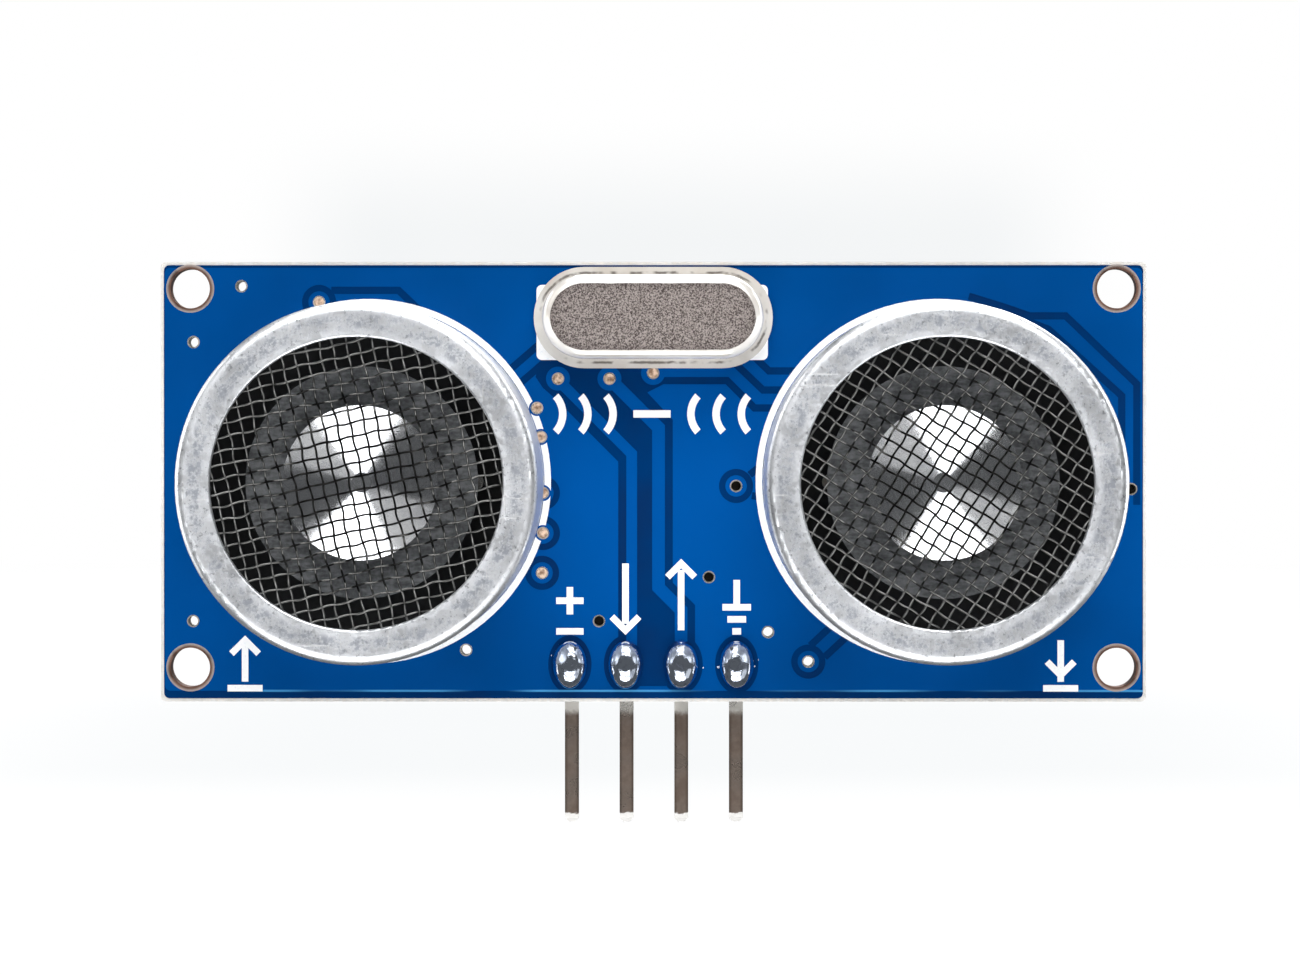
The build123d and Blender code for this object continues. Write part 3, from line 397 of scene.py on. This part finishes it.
def ringFinish():
    # tin over the hole walls, browned by flux, with painted shade: darker on the hole's inner wall
    finish = Finish("mountingRing")
    stain = finish.fade(finish.noise(0.7, 4.0), 0.3, 0.62)
    outX = finish.size(finish.axis("X")) - ringLook["holeX"]
    outZ = finish.size(finish.axis("Z")) - ringLook["holeZ"]
    # painted shade: the inner wall darker, the rim out from it lighter
    outer = finish.fade((outX * outX + outZ * outZ) ** 0.5, 0.94, 1.08)
    colour = finish.blend(outer * 0.8, ringLook["wall"], ringLook["rim"])
    colour = finish.blend(stain * 0.5, colour, ringLook["flux"])
    return finish.done(colour=colour, metallic=1.0, roughness=stain * 0.25 + 0.28,
                       normal=finish.bump(finish.noise(0.2, 3.0), 0.008, 0.7))


def solderFinish():
    finish = Finish("solder")
    lumps = finish.noise(0.55, 3.0)
    dull = finish.fade(finish.noise(0.3, 3.0), 0.45, 0.75)
    colour = finish.blend(dull, tone(204, 212, 226), tone(158, 166, 182))
    return finish.done(colour=colour, metallic=1.0, roughness=dull * 0.16 + 0.08,
                       normal=finish.bump(lumps, 0.05, 0.5))


canLook = {"bright": tone(250, 252, 255), "dull": tone(164, 168, 176),
           "side": tone(244, 247, 250), "stain": tone(142, 145, 152),
           "scuff": tone(255, 255, 255), "rough": 0.36,
           "bandRadius": 7.15,          # the middle of the dull band on the front, millimetres
           "sideStart": 0.35, "sideFull": 0.9}   # depth behind the front, millimetres


def canFinish(name, centre):
    # drawn aluminium: tumbled, with short scratches and a faint ring grain
    finish = Finish(name)
    radius = finish.fromAxis(centre)
    mottle = finish.fade(finish.noise(0.42, 5.0, 0.78), 0.4, 0.62)
    clouds = finish.fade(finish.noise(2.4, 3.0), 0.35, 0.7)
    grain = finish.node("TexNoise", {"noise_dimensions": "1D"},
                        {"W": radius * 9.0, "Scale": 1.0, "Detail": 4.0}, out=0)
    steep = finish.noise(0.16, 2.0, 0.5, finish.stretched((1.0, 1.0, 0.07), (0, 0.6, 0)))
    shallow = finish.noise(0.18, 2.0, 0.5, finish.stretched((0.06, 1.0, 1.0), (0, 0.35, 0)))
    scratches = finish.fade(steep, 0.64, 0.72) + finish.fade(shallow, 0.66, 0.74)
    band = finish.fade(finish.size(radius - canLook["bandRadius"]), 0.15, 0.5, 1.0, 0.3)
    colour = finish.blend(mottle * band, canLook["bright"], canLook["dull"])
    colour = finish.blend(finish.fade(finish.noise(0.17, 3.0), 0.58, 0.7) * 0.7, colour,
                          canLook["stain"])
    scuffs = finish.fade(finish.noise(0.5, 5.0, 0.75), 0.6, 0.7)
    colour = finish.blend(scratches * 0.5 + scuffs * 0.35, colour, canLook["scuff"])
    # painted light: the can's side is painted paler and less metallic than its front, as if lit
    depth = finish.axis("Y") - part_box("transmitter_can")[0][1] / mm
    side = finish.fade(depth, canLook["sideStart"], canLook["sideFull"])
    colour = finish.blend(side * 0.7, colour, canLook["side"])
    rough = mottle * 0.14 + clouds * 0.08 + (canLook["rough"] - 0.08)
    height = mottle * 0.6 + grain * 0.25 - scratches * 0.5
    return finish.done(colour=colour, metallic=1 - side * 0.5, roughness=rough,
                       normal=finish.bump(height, 0.009, 0.5))


def coneFinish(name, centre):
    finish = Finish(name)
    radius = finish.fromAxis(centre)
    rings = finish.node("TexNoise", {"noise_dimensions": "1D"},
                        {"W": radius * 6.0, "Scale": 1.0, "Detail": 3.0}, out=0)
    haze = finish.fade(finish.noise(1.1, 3.0), 0.35, 0.7)
    colour = finish.blend(haze * 0.5, tone(240, 241, 243), tone(206, 208, 212))
    return finish.done(colour=colour, metallic=1.0, roughness=haze * 0.08 + 0.14,
                       normal=finish.bump(rings, 0.01, 0.35))


weaveLook = {"pitch": 0.588, "wireRadius": 0.054, "reach": 7.05, "sides": 6, "steps": 5,
             "wobble": 0.3,                # random drift of the wires, millimetres
             "driftScale": 620.0,
             "crimp": 1.2, "sway": 0.38,   # waves in depth and sideways, in wire radii
             "turns": {"transmitter": 12.5, "receiver": -32.0},
             # wire tones by place are painted light and shade; only the stained tone is the wire's
             # own
             "rim": tone(122, 122, 120), "middle": tone(112, 112, 110), "centre": tone(18, 18, 18),
             "stained": tone(64, 64, 63), "under": tone(12, 12, 12),
             "coneEdge": (2.7, 3.3), "plateEdge": (4.7, 5.2)}   # radii where the tone changes


def weaveFinish(name, centre):
    # steel wire with painted light and shade: dark over the bright cone, paler near the rim, and
    # black as painted shade at the crossings and where it dips under the next
    finish = Finish(name)
    radius = finish.fromAxis(centre)
    depth = finish.axis("Y") - centre[1] / mm
    crossingShade = finish.fade(finish.size(depth), 0.035, 0.06)
    under = finish.fade(depth, 0.0, 0.05)
    stain = finish.fade(finish.noise(0.35, 3.0), 0.35, 0.7)
    # painted light and shade by radius and depth, not the steel's own colour
    overPlate = finish.fade(radius, *weaveLook["coneEdge"])
    colour = finish.blend(overPlate, weaveLook["centre"], weaveLook["middle"])
    colour = finish.blend(crossingShade, colour, weaveLook["under"])
    nearRim = finish.fade(radius, *weaveLook["plateEdge"])
    colour = finish.blend(nearRim, colour, weaveLook["rim"])
    colour = finish.blend(stain * 0.5, colour, weaveLook["stained"])
    colour = finish.blend(under, colour, weaveLook["under"])
    return finish.done(colour=colour, metallic=1.0, roughness=stain * 0.15 + 0.3,
                       normal=finish.bump(finish.noise(0.06, 2.0), 0.003, 0.5))


def plateFinish():
    finish = Finish("darkPlate")
    speck = finish.fade(finish.noise(0.2, 4.0), 0.35, 0.7)
    # painted shadow: slanted streaks stand for the woven mesh's shadow on the plate; the specks are
    # its own grain
    slanted = finish.stretched((0.3, 1.0, 1.0), (0, 0.5, 0))
    meshShadows = finish.fade(finish.noise(0.26, 3.0, 0.6, slanted), 0.38, 0.64)
    colour = finish.blend(speck * 0.4 + meshShadows * 0.6, tone(84, 86, 88), tone(148, 150, 152))
    return finish.done(colour=colour, metallic=0.3, roughness=speck * 0.15 + 0.5,
                       normal=finish.bump(speck + meshShadows, 0.01, 0.5))


def blackFinish(name, size, base, light, rough):
    finish = Finish(name)
    grain = finish.noise(size, 3.0, 0.6)
    colour = finish.blend(finish.fade(grain, 0.35, 0.7), base, light)
    return finish.done(colour=colour,
                       roughness=finish.fade(grain, 0.3, 0.7, rough - 0.06, rough + 0.08),
                       normal=finish.bump(grain, 0.012, 0.6), specular=0.4)


def ceramicFinish(name, pale, dark, size=0.08):
    finish = Finish(name)
    grain = finish.fade(finish.noise(size, 4.0), 0.35, 0.68)
    return finish.done(colour=finish.blend(grain, pale, dark), roughness=grain * 0.2 + 0.4,
                       normal=finish.bump(grain, 0.006, 0.5))


def wireFinish(name, bright, dark, rough=0.3):
    finish = Finish(name)
    stain = finish.fade(finish.noise(0.35, 3.0), 0.35, 0.7)
    return finish.done(colour=finish.blend(stain, bright, dark), metallic=1.0,
                       roughness=stain * 0.15 + rough,
                       normal=finish.bump(finish.noise(0.06, 2.0), 0.003, 0.5))


crystalLook = {"pale": tone(252, 248, 242), "warm": tone(236, 229, 220), "creaseShade": tone(92, 84, 78),
               "blastPale": tone(176, 166, 161), "blastDark": tone(76, 68, 66),
               "blastReach": 1.5,    # how far the blasted face goes out from the middle line
               "seamReach": 2.04}    # the crease at the foot of the shell, millimetres


def crystalFinish(low, high):
    # nickel plate: polished sides, a creased flange with painted shade in the crease, and a
    # blasted, speckled flat face
    finish = Finish("crystalNickel")
    centre = [(a + b) / 2 / mm for a, b in zip(low, high)]
    straight = ((high[0] - low[0]) - (high[2] - low[2])) / 2 / mm
    past = finish.size(finish.axis("X") - centre[0]) - straight
    past = past * (past > 0)
    up = finish.axis("Z") - centre[2]
    reach = (past * past + up * up) ** 0.5
    ragged = finish.noise(0.7, 4.0, 0.7) - 0.5
    flat = finish.axis("Y") < (low[1] / mm + 0.012)
    face = flat * (reach + ragged * 0.1 < crystalLook["blastReach"])
    speck = finish.fade(finish.noise(0.066, 3.0, 0.7), 0.38, 0.62)
    polish = finish.blend(finish.fade(finish.noise(1.5), 0.35, 0.7), crystalLook["pale"],
                          crystalLook["warm"])
    # painted shade: a patchy dark line in the crease at the foot of the shell
    offSeam = finish.size(reach + ragged * 0.16 - crystalLook["seamReach"])
    seam = finish.fade(offSeam, 0.02, 0.09, 1.0, 0.0)
    patchy = finish.fade(finish.noise(1.1, 3.0), 0.42, 0.56)
    polish = finish.blend(seam * patchy * 0.8, polish, crystalLook["creaseShade"])
    blasted = finish.blend(speck, crystalLook["blastPale"], crystalLook["blastDark"])
    blasted = finish.blend(finish.fade(reach, 1.1, crystalLook["blastReach"]) * 0.35, blasted,
                           crystalLook["blastDark"])
    colour = finish.blend(face, polish, blasted)
    rough = face * (speck * 0.12 + 0.3) + 0.13
    height = face * speck + (1 - face) * finish.noise(0.5, 2.0) * 0.2
    return finish.done(colour=colour, metallic=face * 0.65 + 0.35, roughness=rough,
                       normal=finish.bump(height, 0.012, 0.8))


pinLook = {"pitch": 2.54, "pale": tone(168, 153, 142), "dark": tone(122, 107, 97),
           "edge": tone(74, 62, 54), "upperSheen": tone(250, 246, 238), "tip": tone(252, 250, 246),
           "tipLength": (0.22, 0.3), "upperStart": (-0.75, -0.35)}


def pinFinish(tipZ, bendZ):
    # tin on brass, drawn along the pin, with a painted highlight at the cut tip, a painted
    # reflection near the board and painted shade along each pin's edges
    finish = Finish("pinPlate")
    height = finish.axis("Z")
    drawn = finish.noise(0.07, 3.0, 0.6, finish.stretched((1.0, 1.0, 0.05)))
    stain = finish.fade(finish.noise(1.4, 4.0), 0.35, 0.7)
    colour = finish.blend(stain, pinLook["pale"], pinLook["dark"])
    ragged = finish.noise(0.25, 2.0) * 0.3
    tip = 1 - finish.fade(height - ragged, *[tipZ / mm + c for c in pinLook["tipLength"]])
    upperSheen = finish.fade(height + ragged, *[bendZ / mm + c for c in pinLook["upperStart"]])
    # the pins stand at odd halves of the pitch, so each one is in the middle of its lane
    lane = finish.node("Math", {"operation": "FRACT"}, {0: finish.axis("X") / pinLook["pitch"]})
    fromCentre = finish.size(lane - 0.5) * pinLook["pitch"]
    # painted shade: each pin is darker towards its edges
    colour = finish.blend(finish.fade(fromCentre, 0.16, 0.3) * 0.6, colour, pinLook["edge"])
    # painted reflection near the board, and a painted highlight at the cut tip
    colour = finish.blend(upperSheen, colour, pinLook["upperSheen"])
    colour = finish.blend(tip, colour, pinLook["tip"])
    return finish.done(colour=colour, metallic=1 - tip, roughness=stain * 0.14 + 0.26,
                       normal=finish.bump(drawn, 0.002, 0.5))


def glassFinish(name, colour):
    finish = Finish(name)
    haze = finish.fade(finish.noise(0.8, 2.0), 0.3, 0.7)
    return finish.done(colour=finish.blend(haze * 0.3, colour, tone(226, 232, 232)),
                       roughness=haze * 0.06 + 0.06, transmission=0.6, ior=1.5)


def chipFinish():
    # moulded epoxy with filler grain, and paler patches as a painted sheen
    finish = Finish("chipEpoxy")
    grain = finish.noise(0.07, 4.0, 0.7)
    sheenPatches = finish.fade(finish.noise(1.2, 3.0), 0.4, 0.75)
    colour = finish.blend(finish.fade(grain, 0.4, 0.66), tone(34, 34, 36), tone(58, 58, 60))
    colour = finish.blend(sheenPatches * 0.3, colour, tone(76, 76, 78))
    return finish.done(colour=colour, roughness=finish.fade(grain, 0.3, 0.7, 0.5, 0.66),
                       normal=finish.bump(grain, 0.01, 0.7), specular=0.4)


def resistorFinish(topY):
    # black glaze over the middle of a white ceramic chip
    finish = Finish("resistorChip")
    glaze = finish.axis("Y") > (topY / mm - 0.06)
    grain = finish.fade(finish.noise(0.09, 3.0), 0.35, 0.7)
    black = finish.blend(grain, tone(24, 24, 26), tone(40, 40, 42))
    white = finish.blend(grain, tone(226, 224, 218), tone(204, 200, 192))
    return finish.done(colour=finish.blend(glaze, white, black), roughness=0.62 - glaze * 0.34,
                       normal=finish.bump(grain, 0.004, 0.5))


class Graph:
    # a geometry node tree under construction
    def __init__(self, name):
        self.tree = bpy.data.node_groups.new(name, "GeometryNodeTree")
        for way in ("INPUT", "OUTPUT"):
            self.tree.interface.new_socket("Geometry", in_out=way,
                                           socket_type="NodeSocketGeometry")
        self.start = self.tree.nodes.new("NodeGroupInput")
        self.end = self.tree.nodes.new("NodeGroupOutput")

    def ask(self, name, kind="NodeSocketFloat"):
        self.tree.interface.new_socket(name, in_out="INPUT", socket_type=kind)
        return self.start.outputs[name]

    def node(self, kind, settings=None, sockets=None, out=0):
        made = self.tree.nodes.new(kind)
        for key, value in (settings or {}).items():
            setattr(made, key, value)
        for key, value in (sockets or {}).items():
            if isinstance(value, bpy.types.NodeSocket):
                self.tree.links.new(value, made.inputs[key])
            else:
                made.inputs[key].default_value = value
        return made.outputs[out]

    def maths(self, operation, first, second=0.0):
        return self.node("ShaderNodeMath", {"operation": operation}, {0: first, 1: second})

    def vector(self, operation, first, second):
        return self.node("ShaderNodeVectorMath", {"operation": operation}, {0: first, 1: second})

    def above(self, value, limit):
        return self.node("FunctionNodeCompare", {"data_type": "FLOAT", "operation": "GREATER_THAN"},
                         {0: value, 1: limit})

    def drift(self, noise, amount):
        # noise colour as a shift to either side
        centred = self.vector("SUBTRACT", noise, (0.5, 0.5, 0.5))
        return self.node("ShaderNodeVectorMath", {"operation": "SCALE"},
                         {0: centred, "Scale": amount})

    def finish(self, geometry, material):
        real = self.node("GeometryNodeRealizeInstances", None, {0: geometry})
        painted = self.node("GeometryNodeSetMaterial", None,
                            {"Geometry": real, "Material": material})
        self.tree.links.new(painted, self.end.inputs[0])


def bake(name, tree, values, mesh=None):
    # run a node tree on a mesh and keep the result as a plain mesh object
    carrier = bpy.data.objects.new(name + "Carrier", mesh or bpy.data.meshes.new(name + "Carrier"))
    bpy.context.collection.objects.link(carrier)
    modifier = carrier.modifiers.new("nodes", "NODES")
    modifier.node_group = tree
    for item in tree.interface.items_tree:
        if item.item_type == "SOCKET" and item.in_out == "INPUT" and item.name in values:
            modifier[item.identifier] = values[item.name]
    shown = carrier.evaluated_get(bpy.context.evaluated_depsgraph_get())
    result = bpy.data.meshes.new_from_object(shown)
    result.name = name
    bpy.data.objects.remove(carrier)
    piece = bpy.data.objects.new(name, result)
    bpy.context.collection.objects.link(piece)
    return piece


def weaveTree(material):
    graph = Graph("wovenWire")
    pitch = graph.ask("pitch")
    wireRadius = graph.ask("wireRadius")
    reach = graph.ask("reach")
    turn = graph.ask("turn")
    wobble = graph.ask("wobble")
    place = graph.ask("place", "NodeSocketVector")
    count = graph.ask("wires", "NodeSocketInt")
    samples = graph.ask("samples", "NodeSocketInt")
    span = graph.maths("MULTIPLY", graph.maths("SUBTRACT", count, 1.0), pitch)
    half = graph.maths("MULTIPLY", span, 0.5)
    sheets = []
    for side in (0, 1):
        grid = graph.node("GeometryNodeMeshGrid", None,
                          {"Size X": span, "Size Y": span,
                           "Vertices X": samples, "Vertices Y": count})
        # keep only the edges that run along X
        start = graph.node("GeometryNodeInputMeshEdgeVertices", out="Position 1")
        end = start.node.outputs["Position 2"]
        run = graph.vector("SUBTRACT", start, end)
        across = graph.node("ShaderNodeSeparateXYZ", None, {0: run}, out="Y")
        wrong = graph.above(graph.maths("ABSOLUTE", across), 1e-6)
        lines = graph.node("GeometryNodeDeleteGeometry", {"domain": "EDGE", "mode": "EDGE_FACE"},
                           {"Geometry": grid, "Selection": wrong})
        # trim to the round of the can
        spot = graph.node("GeometryNodeInputPosition")
        length = graph.node("ShaderNodeVectorMath", {"operation": "LENGTH"}, {0: spot}, out="Value")
        lines = graph.node("GeometryNodeDeleteGeometry", {"domain": "POINT", "mode": "ALL"},
                           {"Geometry": lines, "Selection": graph.above(length, reach)})
        # over one wire and under the next
        x = graph.node("ShaderNodeSeparateXYZ", None, {0: spot}, out="X")
        y = x.node.outputs["Y"]
        row = graph.maths("ROUND", graph.maths("DIVIDE", graph.maths("ADD", y, half), pitch))
        along = graph.maths("DIVIDE", graph.maths("ADD", x, half), pitch)
        phase = graph.maths("ADD", graph.maths("ADD", along, row), float(side))
        angle = graph.maths("MULTIPLY", phase, math.pi)
        lift = graph.maths("MULTIPLY", graph.maths("COSINE", angle),
                           graph.maths("MULTIPLY", wireRadius, weaveLook["crimp"]))
        sway = graph.maths("MULTIPLY", graph.maths("SINE", angle),
                           graph.maths("MULTIPLY", wireRadius, weaveLook["sway"]))
        noise = graph.node("ShaderNodeTexNoise", None,
                           {"Vector": spot, "Scale": weaveLook["driftScale"], "Detail": 2.0}, out=1)
        flat = graph.vector("MULTIPLY", graph.drift(noise, wobble), (1.0, 1.0, 0.3))
        wave = graph.node("ShaderNodeCombineXYZ", None, {"Y": sway, "Z": lift})
        lines = graph.node("GeometryNodeSetPosition", None,
                           {"Geometry": lines, "Offset": graph.vector("ADD", flat, wave)})
        # the second set of wires is the first one turned a quarter
        if side:
            lines = graph.node("GeometryNodeTransform", None,
                               {"Geometry": lines, "Rotation": (0.0, 0.0, math.pi / 2)})
        sheets.append(lines)
    joined = graph.node("GeometryNodeJoinGeometry", None, {0: sheets[0]})
    graph.tree.links.new(sheets[1], joined.node.inputs[0])
    curves = graph.node("GeometryNodeMeshToCurve", None, {0: joined})
    ring = graph.node("GeometryNodeCurvePrimitiveCircle", None,
                      {"Resolution": weaveLook["sides"], "Radius": wireRadius})
    tubes = graph.node("GeometryNodeCurveToMesh", None,
                       {"Curve": curves, "Profile Curve": ring, "Fill Caps": True})
    tubes = graph.node("GeometryNodeSetShadeSmooth", None, {0: tubes})
    # stand it up in the can's mouth, turned about the can's axis
    spin = graph.node("ShaderNodeCombineXYZ", None, {"Z": turn})
    tubes = graph.node("GeometryNodeTransform", None, {"Geometry": tubes, "Rotation": spin})
    tubes = graph.node("GeometryNodeTransform", None,
                       {"Geometry": tubes, "Translation": place,
                        "Rotation": (math.pi / 2, 0.0, 0.0)})
    graph.finish(tubes, material)
    return graph.tree


def addWeaves():
    wires = 2 * int(weaveLook["reach"] / weaveLook["pitch"]) + 2
    for side, turn in weaveLook["turns"].items():
        centre = middle(side + "_mesh")
        tree = weaveTree(weaveFinish(side + "Wire", centre))
        piece = bake(side + "Weave", tree, {
            "pitch": weaveLook["pitch"] * mm, "wireRadius": weaveLook["wireRadius"] * mm,
            "reach": weaveLook["reach"] * mm, "turn": math.radians(turn),
            "wobble": weaveLook["wobble"] * mm, "place": centre, "wires": wires,
            "samples": (wires - 1) * weaveLook["steps"] + 1})
        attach(piece, "root")
        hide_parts(side + "_mesh")
        print("woven mesh:", side, len(piece.data.polygons), "faces")


lumpLook = {"detail": 3, "bumpiness": 0.09, "driftScale": 2600.0, "seed": 3.0,
            "toe": (0.34, 0.15, 0.27), "side": (0.3, 0.24, 0.36),   # half sizes, millimetres
            "toeGap": 0.08,
            # header joint, shift across and up, radius
            "beads": [(2, 0.74, 0.1, 0.06), (2, 1.02, -0.14, 0.045), (3, -0.86, -0.12, 0.07),
                      (3, 0.83, -0.1, 0.06), (3, 0.98, 0.2, 0.04), (0, -0.84, 0.42, 0.035)]}


def solids(node):
    # the boxes of the separate solids in one node
    mesh = nodeObjects[node].data
    parent = list(range(len(mesh.vertices)))

    def root(i):
        while parent[i] != i:
            parent[i] = parent[parent[i]]
            i = parent[i]
        return i

    seen = {}
    for vertex in mesh.vertices:
        key = tuple(round(c, 7) for c in vertex.co)
        parent[vertex.index] = root(seen.setdefault(key, vertex.index))
    for edge in mesh.edges:
        a, b = edge.vertices
        parent[root(a)] = root(b)
    boxes = {}
    for vertex in mesh.vertices:
        low, high = boxes.setdefault(root(vertex.index), (list(vertex.co), list(vertex.co)))
        for i, c in enumerate(vertex.co):
            low[i] = min(low[i], c)
            high[i] = max(high[i], c)
    return list(boxes.values())


def lumpTree(material):
    # a rounded lump of solder at every point, each with its own size
    graph = Graph("solderLumps")
    detail = graph.ask("detail", "NodeSocketInt")
    bumpiness = graph.ask("bumpiness")
    seed = graph.ask("seed")
    ball = graph.node("GeometryNodeMeshIcoSphere", None, {"Radius": 1.0, "Subdivisions": detail})
    size = graph.node("GeometryNodeInputNamedAttribute", {"data_type": "FLOAT_VECTOR"},
                      {"Name": "size"})
    lumps = graph.node("GeometryNodeInstanceOnPoints", None,
                       {"Points": graph.start.outputs["Geometry"], "Instance": ball, "Scale": size})
    lumps = graph.node("GeometryNodeRealizeInstances", None, {0: lumps})
    spot = graph.node("GeometryNodeInputPosition")
    noise = graph.node("ShaderNodeTexNoise", {"noise_dimensions": "4D"},
                       {"Vector": spot, "W": seed, "Scale": lumpLook["driftScale"], "Detail": 1.0},
                       out=1)
    lumps = graph.node("GeometryNodeSetPosition", None,
                       {"Geometry": lumps, "Offset": graph.drift(noise, bumpiness)})
    lumps = graph.node("GeometryNodeSetShadeSmooth", None, {0: lumps})
    graph.finish(lumps, material)
    return graph.tree


def addLumps(name, tree, lumps):
    # lumps is a list of (place, size), both in metres
    mesh = bpy.data.meshes.new(name + "Points")
    mesh.from_pydata([place for place, size in lumps], [], [])
    sizes = mesh.attributes.new("size", "FLOAT_VECTOR", "POINT")
    sizes.data.foreach_set("vector", [c for place, size in lumps for c in size])
    piece = bake(name, tree, {"detail": lumpLook["detail"], "bumpiness": lumpLook["bumpiness"] * mm,
                              "seed": lumpLook["seed"]}, mesh)
    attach(piece, "root")
    print(name + ":", len(lumps), "lumps,", len(piece.data.polygons), "faces")


def leadLumps():
    # a toe of solder at the foot of every chip lead
    lumps = []
    for chip in ("driver_chip", "controller_chip", "amplifier_chip"):
        chipX = middle(chip + "_body")[0]
        for low, high in solids(chip + "_leads"):
            side = 1 if low[0] > chipX else -1
            toeX = high[0] if side > 0 else low[0]
            place = (toeX + side * lumpLook["toeGap"] * mm, low[1], (low[2] + high[2]) / 2)
            lumps.append((place, [c * mm for c in lumpLook["toe"]]))
    chipZ = middle("transistor_body")[2]
    along, up, across = lumpLook["toe"]
    for low, high in solids("transistor_leads"):
        toeZ = high[2] if low[2] > chipZ else low[2]
        lumps.append((((low[0] + high[0]) / 2, low[1], toeZ), (across * mm, up * mm, along * mm)))
    return lumps


def capLumps():
    # a fillet against the outer end of every chip resistor and capacitor
    lumps = []
    along, up, across = lumpLook["side"]
    for kind in ("resistor", "capacitor"):
        cores = [[(a + b) / 2 for a, b in zip(low, high)]
                 for low, high in solids("chip_" + kind + "_bodies")]
        for low, high in solids("chip_" + kind + "_ends"):
            spot = [(a + b) / 2 for a, b in zip(low, high)]
            core = min(cores, key=lambda c: (c[0] - spot[0]) ** 2 + (c[2] - spot[2]) ** 2)
            outX, outZ = spot[0] - core[0], spot[2] - core[2]
            if abs(outX) > abs(outZ):
                edge = high[0] if outX > 0 else low[0]
                lumps.append(((edge, low[1], spot[2]), (along * mm, up * mm, across * mm)))
            else:
                edge = high[2] if outZ > 0 else low[2]
                lumps.append(((spot[0], low[1], edge), (across * mm, up * mm, along * mm)))
    return lumps


def beadLumps():
    # stray beads of solder beside the header joints
    joints = sorted(solids("header_solder"), key=lambda box: box[0][0])
    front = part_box("front_solder_mask")[0][1]
    lumps = []
    for index, dx, dz, radius in lumpLook["beads"]:
        low, high = joints[index]
        place = ((low[0] + high[0]) / 2 + dx * mm, front, (low[2] + high[2]) / 2 + dz * mm)
        lumps.append((place, [radius * mm] * 3))
    return lumps


addCamera()
addStudio()
print("stage 2: camera and studio")

dress(maskFinish("blueMaskFront", 0.0, 0.015), "front_solder_mask")
dress(maskFinish("blueMaskRear", 1.6, 1.585), "rear_solder_mask")
dress(laminateFinish(), "board_laminate")
dress(copperFinish(), "front_copper", "rear_copper")
dress(inkFinish(), "front_legend", "rear_legend")
dress(tinFinish(), "via_plating", "lead_hole_plating", "land_finish",
      "chip_resistor_ends", "chip_capacitor_ends")
dress(ringFinish(), "mounting_hole_plating")
solder = dress(solderFinish(), "header_solder", "lead_solder")
# painted shade: the via tents are dressed near black for the shade inside the holes
dress(blackFinish("viaShade", 0.2, tone(20, 14, 10), tone(44, 34, 26), 0.4), "via_tents")
dress(ceramicFinish("viaFill", tone(238, 208, 182), tone(128, 92, 66), 0.22), "via_solder")
for side in ("transmitter", "receiver"):
    centre = middle(side + "_can")
    dress(canFinish(side + "Aluminium", centre), side + "_can")
    dress(coneFinish(side + "Cone", centre), side + "_cone")
plate = plateFinish()
basePlastic = blackFinish("basePlastic", 0.3, tone(20, 20, 21), tone(34, 34, 36), 0.5)
silicone = blackFinish("seatSilicone", 0.6, tone(60, 60, 60), tone(84, 84, 84), 0.45)
piezo = ceramicFinish("piezoCeramic", tone(206, 200, 178), tone(176, 168, 142))
leadTin = wireFinish("leadTin", tone(218, 216, 210), tone(176, 172, 166), 0.22)
jumper = wireFinish("jumperCopper", tone(220, 150, 108), tone(176, 110, 76), 0.28)
for side in ("transmitter", "receiver"):
    dress(plate, side + "_drive_plate")
    dress(basePlastic, side + "_base")
    dress(silicone, side + "_seat_ring")
    dress(piezo, side + "_piezo_disc")
    dress(leadTin, side + "_terminals")
    dress(jumper, side + "_jumper_wires")
dress(leadTin, "crystal_leads", "driver_chip_leads", "controller_chip_leads",
      "amplifier_chip_leads", "transistor_leads")
dress(crystalFinish(*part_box("crystal_can")), "crystal_can", "crystal_base")
dress(glassFinish("sealGlass", tone(70, 96, 84)), "crystal_glass_seals")
dress(glassFinish("quartz", tone(226, 234, 236)), "quartz_blank")
dress(wireFinish("clipSteel", tone(206, 206, 204), tone(170, 170, 168), 0.3), "crystal_clips")
dress(blackFinish("housingPlastic", 0.25, tone(22, 22, 23), tone(36, 36, 38), 0.42),
      "header_housing")
dress(pinFinish(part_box("header_pins")[0][2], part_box("board_laminate")[0][2]), "header_pins")
dress(chipFinish(), "driver_chip_body", "controller_chip_body", "amplifier_chip_body",
      "transistor_body")
dress(resistorFinish(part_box("chip_resistor_bodies")[1][1]), "chip_resistor_bodies")
dress(ceramicFinish("capacitorCeramic", tone(186, 150, 112), tone(158, 122, 86)),
      "chip_capacitor_bodies")
print("stage 3: materials")

addWeaves()
lumpNodes = lumpTree(solder)
addLumps("toeSolder", lumpNodes, leadLumps())
addLumps("endSolder", lumpNodes, capLumps())
addLumps("strayBeads", lumpNodes, beadLumps())
print("stage 4: woven meshes and solder")
